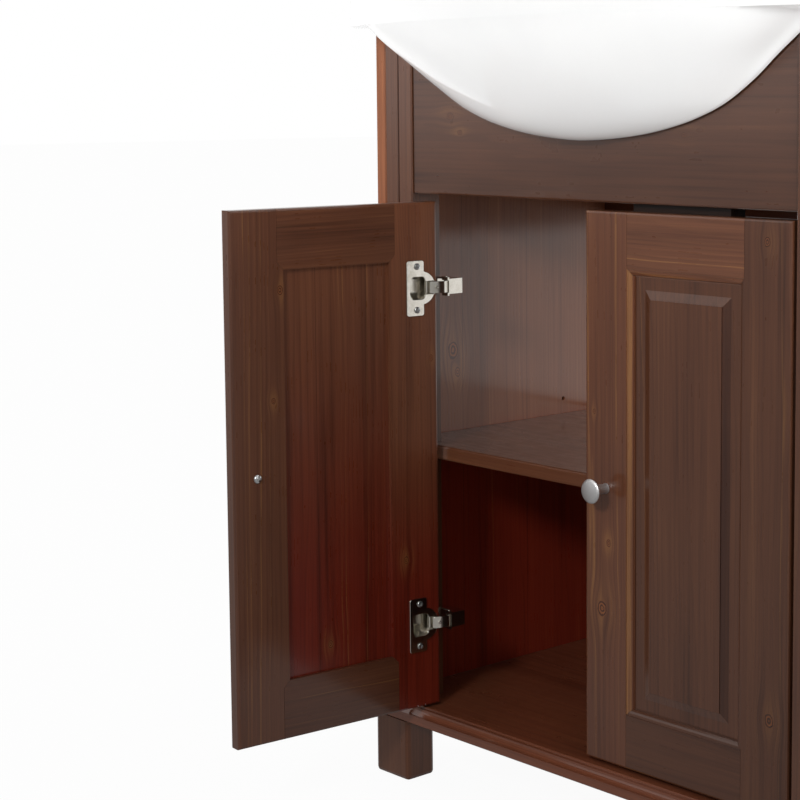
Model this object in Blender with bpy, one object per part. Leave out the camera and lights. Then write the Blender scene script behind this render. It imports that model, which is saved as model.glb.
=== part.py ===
"""Two-door pine vanity unit with a ceramic basin, built piece by piece.

Sizes are millimetres. X runs to the viewer's right, Y into the cabinet and Z up.
Inside the script Y is zero on the front of the posts. The root empty then moves the
whole unit so that the world origin is on the floor under the middle of its box.
The left door rests open and the right door rests closed, as in the photograph.
"""
from math import atan2
from math import cos
from math import degrees
from math import hypot
from math import pi
from math import radians
from math import sin
from math import sqrt

import bmesh
import bpy
from mathutils import Matrix
from mathutils import Vector

MM = 0.001

# Fits
FIT = 0.3
TURN_FIT = 0.3
DOOR_GAP = 3.0
DOOR_TOP_GAP = 8.0

# Carcass
CABINET_D = 372.0
SIDE_T = 16.0
POST_W = 44.5
POST_D = 40.0
POST_CHAMFER = 1.4
GROOVE_W = 2.6
GROOVE_D = 2.0
FOOT_W = 56.0
FOOT_D = 40.0
FOOT_H = 69.0
FOOT_INSET = 11.0
FOOT_ROUND = 4.5
BOARD_T = 20.0
BOARD_LEAD = 20.0
BAND_H = 10.4
COVE_R = 7.0
COVE_DEPTH = 2.4
COVE_STOP = 12.0
FASCIA_H = 183.0
FASCIA_T = 18.0
FASCIA_SET_BACK = 2.0
EDGE_ROUND = 2.0
BACK_T = 16.0
BACK_TOP_GAP = 4.0
BACK_DROP = 36.0
SHELF_T = 16.0
SHELF_RISE = 294.0
SHELF_FRONT = 22.0
SHELF_BACK_GAP = 30.0
PIN_R = 2.4
PIN_LENGTH = 15.0
PIN_DEPTH = 8.0
PIN_PITCH = 37.0
PIN_FRONT_Y = 74.0
PIN_BACK_Y = 282.0
PIN_HOLE_FIT = 0.25
HOLE_LEAD = 4.0
SHELF_FIT = 1.0
STOP_X0 = 52.7
STOP_X1 = 178.0
STOP_H = 45.0
STOP_DROP = 12.0
STOP_T = 16.0

# Basin
BASIN_W = 690.0
BASIN_D = 482.0
BASIN_OVERHANG = 17.0
RIM_H = 43.0
RIM_ROUND = 4.0
RIM_CORNER = 14.0
LIP_ROUND = 8.0
LIP_IN = 2.4
BOW_START = -1.0
APRON_SIDE_GAP = 16.0
APRON_RISE = 61.6
APRON_EDGE = 5.0
APRON_BULGE = 100.0
APRON_SWELL = 0.5
BOW_POWER = 1.6
FLARE_FRONT = 70.0
FLARE_SIDE = 14.0
FLUSH_FROM = 90.0
FLUSH_FULL = 66.0
CUTOUT_LAP = 14.0
BOWL_FIT = 2.0
BOWL_BACK_Y = 235.0
BOWL_FRONT_Y = -80.0
BOWL_SIDE = 109.0
BOWL_DEPTH = 133.3
BOWL_LIP = 5.0
BELLY_D = 280.0
BOWL_START = 1.5
WASTE_Y = 112.0
WASTE_R = 23.0
WASTE_LEDGE = 3.0
TAP_R = 17.5
TAP_Y = 303.0
OVERFLOW_R = 9.0
OVERFLOW_DROP = 44.0
POCKET_WALL = 42.0
POCKET_FRONT = 12.0
POCKET_LEAD = 20.0
CORE_SIDE = 40.0
CORE_FRONT = 22.0
CORE_BACK = 48.0
CORE_LOW = 60.0
DECK_T = 20.0

# Outline of the apron on the fascia, as shares of its half width and of its height
APRON_CURVE = (
    (0.102, 0.011),
    (0.229, 0.044),
    (0.352, 0.101),
    (0.470, 0.182),
    (0.586, 0.302),
    (0.697, 0.482),
    (0.784, 0.664),
    (0.837, 0.768),
    (0.877, 0.846),
    (0.910, 0.916),
    (0.942, 0.970),
    (1.000, 1.000),
)

# Doors
DOOR_H = 567.0
DOOR_T = 16.0
DOOR_PROUD = 1.0
FRAME_W = 56.5
STICK_W = 7.5
STICK_DEPTH = 6.0
PANEL_TONGUE_T = 5.0
GROOVE_FIT = 0.35
TONGUE_IN = 6.6
FIELD_MARGIN = 12.5
FIELD_BEVEL = 9.0
FIELD_RISE = 3.6
DOOR_ROUND = 2.5

# Knob
KNOB_EDGE = 28.5
KNOB_RISE = 2.5
KNOB_R = 13.2
KNOB_NECK_R = 4.9
KNOB_OUT = 26.0
KNOB_DOME = 3.2
KNOB_RIM = 1.8
KNOB_BACK = 3.6
KNOB_BORE = 10.0
SCREW_R = 2.0
SCREW_HEAD_R = 4.7
SCREW_HEAD_H = 2.6

# Hinges
OPENING = 95.0
LINK_SWING = 42.0
HINGE_END = 94.5
CUP_EDGE = 22.0
CUP_R = 17.3
CUP_WALL = 0.9
CUP_DEPTH = 12.2
FLANGE_T = 1.2
FLANGE_NEAR = 18.8
FLANGE_FAR = 42.0
FLANGE_HALF = 30.7
FLANGE_MOON_R = 18.6
FLANGE_CORNER = 3.0
WINDOW_NEAR = 17.0
WINDOW_FAR = 37.4
WINDOW_HALF = 12.4
WINDOW_CORNER = 5.0
SLOT_NEAR = 5.2
CUP_SCREW_EDGE = 28.0
CUP_SCREW_PITCH = 48.0
HINGE_SCREW_R = 3.6
CUP_SHANK_R = 1.5
CUP_SCREW_L = 11.0
CUP_PIN_HALF = 11.2
HINGE_SCREW_H = 1.5
PIVOT_INSET = 10.0
PIVOT_DEPTH = 5.0
ARM_IN = 30.5
ARM_BACK = 5.3
HINGE_PIN_R = 1.3
LINK_T = 2.4
LINK_H = 13.0
EYE_R = 2.9
CHEEK_T = 1.6
ARM_END = 24.5
ARM_SKIN = 4.9
ARM_FOOT = 4.5
ARM_HEEL = 12.0
ARM_BEND = 20.0
CHEEK_BACK = 4.2
COLLAR_FRONT = 2.4
COLLAR_BACK = 4.8
COLLAR_HALF = 10.3
COVER_FROM = 4.8
BLOCK_LENGTH = 11.0
BLOCK_OUT = 4.0
BLOCK_BACK = 2.0
PLATE_T = 3.0
PLATE_H = 50.0
PLATE_Y0 = 16.5
PLATE_Y1 = 32.5
PLATE_BEVEL = 1.0
PEG_PITCH = 32.0
PEG_R = 4.0
PEG_L = 10.0

# Sizes that follow from the values above
CABINET_W = BASIN_W - 2 * BASIN_OVERHANG
HALF_W = CABINET_W / 2
POST_OUT = HALF_W - SIDE_T - FIT
POST_IN = HALF_W - SIDE_T - POST_W
FLOOR_Z = FOOT_H + BOARD_T
DOOR_Z = FLOOR_Z + DOOR_GAP
DOOR_W = POST_IN - DOOR_GAP * 1.5
DOOR_EDGE_X = POST_IN - DOOR_GAP
INNER_Y = DOOR_T - DOOR_PROUD
FASCIA_Z = DOOR_Z + DOOR_H + DOOR_TOP_GAP
FASCIA_BACK = FASCIA_SET_BACK + FASCIA_T
CABINET_TOP = FASCIA_Z + FASCIA_H
APRON_LOW = FASCIA_Z + APRON_RISE
APRON_HALF = HALF_W - APRON_SIDE_GAP
RIM_Z = CABINET_TOP + FIT
RIM_TOP = RIM_Z + RIM_H
BASIN_FRONT = CABINET_D - BASIN_D
BOWL_FLOOR = RIM_TOP - BOWL_DEPTH
BOWL_HALF_W = BASIN_W / 2 - BOWL_SIDE
SHELF_TOP = FLOOR_Z + SHELF_RISE
SHELF_Z = SHELF_TOP - SHELF_T
PIN_Z = SHELF_Z - FIT - PIN_R
LINK_LENGTH = hypot(ARM_IN - PIVOT_INSET, ARM_BACK + PIVOT_DEPTH)
LINK_CLOSED = 180.0 + degrees(atan2(ARM_BACK + PIVOT_DEPTH, ARM_IN - PIVOT_INSET))
HINGE_Z = (DOOR_Z + HINGE_END, DOOR_Z + DOOR_H - HINGE_END)

WOOD = ((0.105, 0.050, 0.026, 1.0), 0.42, 0.0)
NICKEL = ((0.60, 0.57, 0.52, 1.0), 0.28, 1.0)
STEEL = ((0.50, 0.49, 0.47, 1.0), 0.35, 1.0)
CERAMIC = ((0.86, 0.86, 0.85, 1.0), 0.08, 0.0)


def clear_scene():
    for old in list(bpy.data.objects):
        bpy.data.objects.remove(old, do_unlink=True)


def finish_material(name, finish):
    colour, roughness, metallic = finish
    material = bpy.data.materials.new(name + "_finish")
    material.use_nodes = True
    shader = material.node_tree.nodes["Principled BSDF"]
    shader.inputs["Base Color"].default_value = colour
    shader.inputs["Roughness"].default_value = roughness
    shader.inputs["Metallic"].default_value = metallic
    return material


def link_object(name, bm, finish, parent, smooth=0.0):
    bmesh.ops.recalc_face_normals(bm, faces=bm.faces)
    bmesh.ops.scale(bm, vec=(MM, MM, MM), verts=bm.verts)
    mesh = bpy.data.meshes.new(name)
    bm.to_mesh(mesh)
    bm.free()
    if smooth:
        mesh.shade_smooth()
        mesh.set_sharp_from_angle(angle=radians(smooth))
    item = bpy.data.objects.new(name, mesh)
    bpy.context.scene.collection.objects.link(item)
    if finish:
        mesh.materials.append(finish_material(name, finish))
    item.parent = parent
    return item


def empty(name, parent, place, turn=0.0):
    item = bpy.data.objects.new(name, None)
    bpy.context.scene.collection.objects.link(item)
    item.parent = parent
    item.location = Vector(place) * MM
    item.rotation_euler = (0.0, 0.0, radians(turn))
    return item


def cut(item, cutter_bm, label):
    cutter = link_object(item.name + "_" + label, cutter_bm, None, item.parent)
    cutter.hide_render = True
    cutter.display_type = "WIRE"
    step = item.modifiers.new(label, "BOOLEAN")
    step.operation = "DIFFERENCE"
    step.solver = "EXACT"
    step.object = cutter


def fuse(item, added_bm, label):
    added = link_object(item.name + "_" + label, added_bm, None, item.parent)
    added.hide_render = True
    added.display_type = "WIRE"
    step = item.modifiers.new(label, "BOOLEAN")
    step.operation = "UNION"
    step.solver = "EXACT"
    step.object = added


def prism(points, low, high, axis="Z"):
    """A polygon given in the plane across the axis, drawn out from low to high."""
    bm = bmesh.new()
    add_prism(bm, points, low, high, axis)
    return bm


def add_prism(bm, points, low, high, axis="Z"):
    def place(p, along):
        if axis == "Z":
            return (p[0], p[1], along)
        if axis == "X":
            return (along, p[0], p[1])
        return (p[0], along, p[1])

    bottom = [bm.verts.new(place(p, low)) for p in points]
    top = [bm.verts.new(place(p, high)) for p in points]
    count = len(points)
    bm.faces.new(bottom)
    bm.faces.new(top)
    for i in range(count):
        j = (i + 1) % count
        bm.faces.new((bottom[i], bottom[j], top[j], top[i]))


def box(x0, x1, y0, y1, z0, z1):
    return prism([(x0, y0), (x1, y0), (x1, y1), (x0, y1)], z0, z1)


def circle(cx, cy, radius, count):
    turns = [2 * pi * i / count for i in range(count)]
    return [(cx + radius * cos(t), cy + radius * sin(t)) for t in turns]


def round_edges(bm, chosen, radius, segments=2):
    edges = [e for e in bm.edges if chosen(e.verts[0].co, e.verts[1].co)]
    bmesh.ops.bevel(bm, geom=edges, offset=radius, segments=segments, profile=0.5, affect="EDGES")


def near(value, target):
    return abs(value - target) < 0.01


def along(p, q, axis):
    others = [i for i in range(3) if i != axis]
    return all(near(p[i], q[i]) for i in others)


def both(p, q, axis, value):
    return near(p[axis], value) and near(q[axis], value)


def lathe(profile, count, axis="Y"):
    """Turns (radius, along) points about the axis. The ends may lie on the axis."""
    bm = bmesh.new()
    add_lathe(bm, profile, count, axis, (0.0, 0.0, 0.0))
    return bm


def add_lathe(bm, profile, count, axis, centre):
    def place(radius, step, angle):
        a = radius * cos(angle)
        b = radius * sin(angle)
        if axis == "Y":
            spot = (a, step, b)
        elif axis == "X":
            spot = (step, a, b)
        else:
            spot = (a, b, step)
        return Vector(spot) + Vector(centre)

    rings = []
    for radius, step in profile:
        if radius < 0.001:
            rings.append([bm.verts.new(place(0.0, step, 0.0))])
        else:
            rings.append([bm.verts.new(place(radius, step, 2 * pi * i / count)) for i in range(count)])
    for ring, following in zip(rings, rings[1:]):
        for i in range(count):
            j = (i + 1) % count
            if len(ring) == 1:
                bm.faces.new((ring[0], following[j], following[i]))
            elif len(following) == 1:
                bm.faces.new((ring[i], ring[j], following[0]))
            else:
                bm.faces.new((ring[i], ring[j], following[j], following[i]))


def build_side(name, side, root):
    x_in = side * (HALF_W - SIDE_T)
    x_out = side * HALF_W
    bm = box(min(x_in, x_out), max(x_in, x_out), 0.0, CABINET_D, FLOOR_Z + FIT, CABINET_TOP)
    round_edges(bm, lambda p, q: along(p, q, 2) and both(p, q, 1, 0.0), POST_CHAMFER, 1)
    item = link_object(name, bm, WOOD, root)
    holes = bmesh.new()
    depth = PIN_DEPTH + FIT
    for y in (PIN_FRONT_Y, PIN_BACK_Y):
        for step in (-1, 0, 1):
            z = PIN_Z + step * PIN_PITCH
            ends = sorted((x_in - side * HOLE_LEAD, x_in + side * depth))
            add_prism(holes, circle(y, z, PIN_R + PIN_HOLE_FIT, 12), ends[0], ends[1], "X")
    cut(item, holes, "pin_holes")


def build_post(name, side, root):
    mid = (POST_OUT + POST_IN) / 2
    half = GROOVE_W / 2
    c = POST_CHAMFER
    points = [(POST_IN, POST_D), (POST_IN, c), (POST_IN + c, 0.0)]
    points += [(mid - half, 0.0), (mid, GROOVE_D), (mid + half, 0.0)]
    points += [(POST_OUT - c, 0.0), (POST_OUT, c), (POST_OUT, POST_D)]
    bm = prism([(side * x, y) for x, y in points], FLOOR_Z + FIT, CABINET_TOP)
    item = link_object(name, bm, WOOD, root)
    holes = bmesh.new()
    for z in HINGE_Z:
        for y, height in plate_places(z):
            ends = sorted((side * (POST_IN - HOLE_LEAD), side * (POST_IN + PEG_L + FIT)))
            add_prism(holes, circle(y, height, PEG_R + FIT, PEG_SIDES), ends[0], ends[1], "X")
    cut(item, holes, "peg_holes")


def apron_line(inset):
    """Right half of the apron's outline from its lowest point up, moved in by the inset, as (x, z)."""
    tall = RIM_Z - APRON_LOW
    line = [(0.0, APRON_LOW)]
    line += [(APRON_HALF * a, APRON_LOW + tall * b) for a, b in APRON_CURVE]
    moved = []
    for i, spot in enumerate(line):
        before = line[i - 1] if i else (-line[1][0], line[1][1])
        after = line[min(len(line) - 1, i + 1)]
        way = Vector((after[0] - before[0], after[1] - before[1])).normalized()
        moved.append((spot[0] - way[1] * inset, spot[1] + way[0] * inset))
    return moved


def read_line(line, value, key):
    """Reads the other number of a rising line of pairs where the number at key has this value."""
    other = 1 - key
    if value <= line[0][key]:
        return line[0][other]
    for low, high in zip(line, line[1:]):
        if value <= high[key]:
            share = (value - low[key]) / (high[key] - low[key])
            return low[other] + share * (high[other] - low[other])
    return line[-1][other]


def apron_half(z, inset):
    return read_line(apron_line(inset), z, 1)


def build_fascia(root):
    half = POST_IN - FIT
    line = apron_line(CUTOUT_LAP)
    steps = 40
    curve = []
    for i in range(steps + 1):
        x = half - 2 * half * i / steps
        curve.append((x, read_line(line, abs(x), 0)))
    points = [(-half, FASCIA_Z), (half, FASCIA_Z)] + curve
    bm = prism(points, FASCIA_SET_BACK, FASCIA_BACK, "Y")
    round_edges(
        bm,
        lambda p, q: both(p, q, 1, FASCIA_SET_BACK)
        and (both(p, q, 2, FASCIA_Z) or both(p, q, 0, half) or both(p, q, 0, -half)),
        EDGE_ROUND,
    )
    link_object("fascia_board", bm, WOOD, root, 40.0)


def build_bottom_board(root):
    f = -BOARD_LEAD
    z0 = FOOT_H + FIT
    band = FOOT_H + BAND_H
    top = FLOOR_Z
    points = [(f + 1.0, z0), (f, z0 + 1.0), (f, band), (f + 0.7, band + 0.6)]
    points += [(f + 7.0, band + 4.6), (f + 7.0, band + 6.2), (f + 7.8, band + 7.0)]
    points += [(f + 11.2, band + 7.4), (f + 11.2, top - 0.8), (f + 12.0, top)]
    points += [(CABINET_D, top), (CABINET_D, z0)]
    item = link_object("bottom_board", prism(points, -HALF_W, HALF_W, "X"), WOOD, root)
    slope = Vector((-0.536, 0.844))
    lift = COVE_R - COVE_DEPTH
    cy = f + 3.85 + slope[0] * lift
    cz = band + 2.6 + slope[1] * lift
    reach = POST_IN - COVE_STOP
    profile = []
    for i in range(7):
        t = (pi / 2) * i / 6
        profile.append((COVE_R * sin(t), -reach - COVE_R * cos(t)))
    for i in range(7):
        t = (pi / 2) * i / 6
        profile.append((COVE_R * cos(t), reach + COVE_R * sin(t)))
    cove = bmesh.new()
    add_lathe(cove, profile, 20, "X", (0.0, cy, cz))
    cut(item, cove, "cove")


def build_foot(name, side, front, root):
    x_out = side * (HALF_W - FOOT_INSET)
    x_in = x_out - side * FOOT_W
    y0 = -BOARD_LEAD if front else CABINET_D - FOOT_D
    bm = box(min(x_in, x_out), max(x_in, x_out), y0, y0 + FOOT_D, 0.0, FOOT_H)
    round_edges(bm, lambda p, q: along(p, q, 2) or both(p, q, 2, 0.0), FOOT_ROUND, 2)
    link_object(name, bm, WOOD, root, 40.0)


def build_back(name, low, high, root):
    half = HALF_W - SIDE_T - FIT
    bm = box(-half, half, CABINET_D - BACK_T, CABINET_D, low, high)
    round_edges(bm, lambda p, q: along(p, q, 0), POST_CHAMFER, 1)
    link_object(name, bm, WOOD, root)


def build_shelf(root):
    wide = HALF_W - SIDE_T - SHELF_FIT
    slim = POST_IN - SHELF_FIT
    back = CABINET_D - SHELF_BACK_GAP
    notch = POST_D + SHELF_FIT
    points = [(-slim, SHELF_FRONT), (slim, SHELF_FRONT), (slim, notch), (wide, notch)]
    points += [(wide, back), (-wide, back), (-wide, notch), (-slim, notch)]
    bm = prism(points, SHELF_Z, SHELF_TOP)
    round_edges(bm, lambda p, q: along(p, q, 0) and both(p, q, 1, SHELF_FRONT), EDGE_ROUND)
    link_object("shelf", bm, WOOD, root, 40.0)
    for label, side in (("left", -1), ("right", 1)):
        for place, y in (("front", PIN_FRONT_Y), ("back", PIN_BACK_Y)):
            inner = side * (HALF_W - SIDE_T)
            far = inner + side * PIN_DEPTH
            tip = far - side * PIN_LENGTH
            pin = bmesh.new()
            add_lathe(pin, [(0.0, far), (PIN_R, far), (PIN_R, tip), (0.0, tip)], 12, "X", (0.0, y, PIN_Z))
            link_object("shelf_pin_" + label + "_" + place, pin, STEEL, root, 40.0)


def build_stop(root):
    face = INNER_Y + FIT
    back = FASCIA_BACK + FIT
    low = FASCIA_Z - STOP_DROP
    points = [(face, low), (back + STOP_T, low), (back + STOP_T, low + STOP_H)]
    points += [(back, low + STOP_H), (back, FASCIA_Z - FIT), (face, FASCIA_Z - FIT)]
    link_object("door_stop", prism(points, STOP_X0, STOP_X1, "X"), WOOD, root)


FRONT_STEPS = 14
REAR_STEPS = 14
LENS_LEVELS = (0.045, 0.15, 0.34, 0.62, 1.0)
BELLY_LEVELS = (0.038, 0.085, 0.16, 0.27, 0.42, 0.59, 0.73, 0.80, 0.85, 0.90, 0.935, 0.967, 0.989, 1.0)
BOWL_SECTION = ((0.2, 0.962), (0.42, 0.895), (0.62, 0.79), (0.78, 0.65), (0.89, 0.49), (0.96, 0.30))
BOWL_SQUARE = 0.86
BELLY_CURVE = 3.2
BELLY_POWER = 0.55
BELLY_SIDE = 0.8
LENS_SHARE = 0.8
CUP_SIDES = 24
PEG_SIDES = 12


def ring_from_quarters(front, rear):
    """Makes a whole ring from the right front quarter and the right rear quarter."""
    right = front + rear[1:]
    left = [(-x, y) for x, y in right[-2:0:-1]]
    return right + left


def ease(value):
    value = min(1.0, max(0.0, value))
    return value * value * (3.0 - 2.0 * value)


def flush(turn):
    """How far rim and apron are one surface, from 0 at the sides to 1 over the front."""
    return ease((FLUSH_FROM - degrees(turn)) / (FLUSH_FROM - FLUSH_FULL))


def rim_spot(turn, inset):
    """A point of the rim's bowed front, with the turn at zero in the middle."""
    depth = BOW_START - BASIN_FRONT - inset
    return ((BASIN_W / 2 - inset) * sin(turn), BOW_START - depth * cos(turn))


def apron_spot(z, turn):
    """A point of the apron's bulging front, which flares into the rim near its top."""
    share = (z - APRON_LOW) / (RIM_Z - APRON_LOW)
    x = apron_half(z, 0.0) * sin(turn)
    y = -FIT * 2 - APRON_EDGE - APRON_BULGE * share ** APRON_SWELL * max(0.0, cos(turn)) ** BOW_POWER
    rim = rim_spot(turn, 0.0)
    tall = FLARE_SIDE + (FLARE_FRONT - FLARE_SIDE) * cos(turn) ** 2
    pull = flush(turn) * ease((z - RIM_Z + tall) / tall)
    return (x + (rim[0] - x) * pull, y + (rim[1] - y) * pull)


def quarter(steps):
    return [(pi / 2) * i / steps for i in range(steps + 1)]


def apron_ring(z):
    """Section of the basin below the rim: the apron in front of the fascia and the bowl behind it."""
    front = [apron_spot(z, turn) for turn in quarter(FRONT_STEPS)]
    half = apron_half(z, 0.0)
    back_face = -FIT * 2
    low = APRON_LOW + CUTOUT_LAP + BOWL_FIT
    depth = back_face
    if z < low + BOWL_START - FIT:
        inner = min(LENS_SHARE * half, apron_half(low + BOWL_START, CUTOUT_LAP + BOWL_FIT))
    else:
        share = (z - low) / (RIM_Z - low)
        depth = BELLY_D * (1.0 - (1.0 - share) ** BELLY_CURVE) ** BELLY_POWER
        inner = min(apron_half(z, CUTOUT_LAP + BOWL_FIT), POST_IN - BOWL_FIT)
    rear = [(half, back_face - APRON_EDGE), (half, back_face)]
    for turn in quarter(REAR_STEPS - 2):
        x = inner * max(0.0, cos(turn)) ** BELLY_SIDE
        rear.append((x, back_face + (depth - back_face) * sin(turn)))
    return ring_from_quarters(front, rear)


def rim_ring(inset, joined=False):
    """Outline of the rim. Where it is joined to the apron, the inset fades out over the front."""
    front = []
    for turn in quarter(FRONT_STEPS):
        front.append(rim_spot(turn, inset * (1.0 - flush(turn)) if joined else inset))
    half = BASIN_W / 2 - inset
    back = CABINET_D - inset
    corner = max(LIP_IN, RIM_CORNER - inset)
    deep = back - corner - BOW_START
    rear = [(half, BOW_START + deep * share) for share in (0.0, 0.11, 0.4, 0.89)]
    for turn in quarter(5):
        rear.append((half - corner + corner * cos(turn), back - corner + corner * sin(turn)))
    left = REAR_STEPS - 9
    for k in range(1, left + 1):
        rear.append(((half - corner) * (1.0 - k / left), back))
    return ring_from_quarters(front, rear)


def bowl_ring(half, y0, y1, power):
    mid = (y0 + y1) / 2
    reach = (y1 - y0) / 2
    front = []
    for turn in quarter(FRONT_STEPS):
        front.append((half * sin(turn) ** power, mid - reach * max(0.0, cos(turn)) ** power))
    rear = []
    for turn in quarter(REAR_STEPS):
        rear.append((half * max(0.0, cos(turn)) ** power, mid + reach * sin(turn) ** power))
    return ring_from_quarters(front, rear)


def stack(rings):
    bm = bmesh.new()
    loops = []
    for z, spots in rings:
        loops.append([bm.verts.new((x, y, z)) for x, y in spots])
    bm.faces.new(loops[0])
    bm.faces.new(loops[-1])
    for low, high in zip(loops, loops[1:]):
        count = len(low)
        for i in range(count):
            j = (i + 1) % count
            bm.faces.new((low[i], low[j], high[j], high[i]))
    bmesh.ops.remove_doubles(bm, verts=bm.verts, dist=0.02)
    return bm


def build_basin(root):
    low = APRON_LOW + CUTOUT_LAP + BOWL_FIT
    levels = [APRON_LOW + (low - APRON_LOW) * share for share in LENS_LEVELS]
    levels.append(low + BOWL_START)
    levels += [low + (RIM_Z - low) * share for share in BELLY_LEVELS]
    rings = [(z, apron_ring(z)) for z in levels]
    rings.append((RIM_Z + 0.01, rim_ring(RIM_ROUND, True)))
    rings.append((RIM_Z + RIM_ROUND, rim_ring(0.0)))
    rings.append((RIM_TOP - LIP_ROUND, rim_ring(0.0)))
    rings.append((RIM_TOP - LIP_IN, rim_ring(LIP_IN)))
    rings.append((RIM_TOP, rim_ring(LIP_ROUND)))
    y0 = BOWL_FRONT_Y
    y1 = BOWL_BACK_Y
    half = BOWL_HALF_W
    wide = bowl_ring(half + BOWL_LIP, y0 - BOWL_LIP, y1 + BOWL_LIP, BOWL_SQUARE)
    rings.append((RIM_TOP - BOWL_LIP * 0.16, wide))
    rings.append((RIM_TOP - BOWL_LIP * 0.8, bowl_ring(half, y0, y1, BOWL_SQUARE)))
    for fall, keep in BOWL_SECTION:
        front = WASTE_Y + (y0 - WASTE_Y) * keep
        back = WASTE_Y + (y1 - WASTE_Y) * keep
        rings.append((RIM_TOP - BOWL_DEPTH * fall, bowl_ring(half * keep, front, back, 0.9)))
    ledge = WASTE_R + WASTE_LEDGE
    rings.append((BOWL_FLOOR, bowl_ring(ledge, WASTE_Y - ledge, WASTE_Y + ledge, 1.0)))
    item = link_object("basin", stack(rings), CERAMIC, root, 34.0)
    core = bowl_ring(half + CORE_SIDE, y0 - CORE_FRONT, y1 + CORE_BACK, BOWL_SQUARE)
    pocket = box(
        -(BASIN_W / 2 - POCKET_WALL),
        BASIN_W / 2 - POCKET_WALL,
        POST_D + POCKET_FRONT,
        CABINET_D - POCKET_WALL,
        RIM_Z - POCKET_LEAD,
        RIM_TOP - DECK_T,
    )
    hollow = link_object("basin_hollow", pocket, None, root)
    cut(hollow, stack([(low + CORE_LOW, core), (RIM_TOP + HOLE_LEAD, core)]), "core")
    hollow.hide_render = True
    hollow.display_type = "WIRE"
    step = item.modifiers.new("hollow", "BOOLEAN")
    step.operation = "DIFFERENCE"
    step.solver = "EXACT"
    step.object = hollow
    holes = bmesh.new()
    add_prism(holes, circle(0.0, WASTE_Y, WASTE_R, 32), APRON_LOW - POCKET_LEAD, BOWL_FLOOR + HOLE_LEAD)
    add_prism(holes, circle(0.0, TAP_Y, TAP_R, 32), RIM_Z - POCKET_LEAD, RIM_TOP + HOLE_LEAD)
    spot = RIM_TOP - OVERFLOW_DROP
    add_prism(holes, circle(0.0, spot, OVERFLOW_R, 20), y1 - CORE_SIDE, y1 + POCKET_FRONT, "Y")
    cut(item, holes, "holes")


def stick_profile():
    """Inner edge of a door frame piece as (across, depth) from front to back."""
    spots = [(0.0, 0.0), (0.3, 0.9)]
    for i in range(1, 5):
        t = (pi / 2) * i / 4
        spots.append((0.6 + (STICK_W - 1.4) * sin(t), 0.9 + (STICK_DEPTH - 1.6) * (1.0 - cos(t))))
    slot_top = STICK_DEPTH - GROOVE_FIT
    slot_low = STICK_DEPTH + PANEL_TONGUE_T + GROOVE_FIT
    slot_in = STICK_W - TONGUE_IN - FIT
    spots.append((STICK_W, slot_top - 0.4))
    spots.append((STICK_W, slot_top))
    spots.append((slot_in, slot_top))
    spots.append((slot_in, slot_low))
    spots.append((STICK_W, slot_low))
    spots.append((STICK_W, DOOR_T))
    spots.append((0.0, DOOR_T))
    return spots


def frame_piece(length, end, mitre):
    """A door frame piece along w from end to length minus end, u across and v deep.

    The flat part is FRAME_W wide. The moulded strip beyond it is mitred at both ends.
    """
    bm = bmesh.new()

    def vert(u, v, w):
        return bm.verts.new((u, v, w))

    far = length - end
    outer = [vert(0, 0, end), vert(0, DOOR_T, end), vert(0, DOOR_T, far), vert(0, 0, far)]
    profile = stick_profile()
    low = [vert(FRAME_W + a, v, mitre + a) for a, v in profile]
    high = [vert(FRAME_W + a, v, length - mitre - a) for a, v in profile]
    stepped = mitre - end > 0.01
    if stepped:
        foot = [vert(FRAME_W, 0, end), vert(FRAME_W, DOOR_T, end)]
        head = [vert(FRAME_W, 0, far), vert(FRAME_W, DOOR_T, far)]
    else:
        foot = [low[0], low[-1]]
        head = [high[0], high[-1]]
    bm.faces.new(outer)
    bm.faces.new((outer[0], outer[1], foot[1], foot[0]))
    bm.faces.new((outer[3], head[0], head[1], outer[2]))
    front = [outer[0], foot[0], low[0], high[0], head[0], outer[3]]
    back = [outer[1], outer[2], head[1], high[-1], high[-2], low[-2], low[-1], foot[1]]
    if stepped:
        bm.faces.new((foot[0], foot[1], low[-1], low[0]))
        bm.faces.new((head[1], head[0], high[0], high[-1]))
    else:
        front = [outer[0], low[0], high[0], outer[3]]
        back = [outer[1], outer[2], high[-1], high[-2], low[-2], low[-1]]
    bm.faces.new(front)
    bm.faces.new(back)
    bm.faces.new(low[::-1])
    bm.faces.new(high)
    for i in range(len(profile) - 2):
        bm.faces.new((low[i], low[i + 1], high[i + 1], high[i]))
    bmesh.ops.recalc_face_normals(bm, faces=bm.faces)
    return bm


def door_local(u, v, w, side):
    """Door space has its origin on the cup pin, the hinge edge at minus the pin inset."""
    x = -side * (u - PIVOT_INSET)
    y = v - (DOOR_T - PIVOT_DEPTH)
    return Vector((x, y, w))


def to_door(bm, place):
    for v in bm.verts:
        v.co = place(v.co)
    return bm


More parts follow.
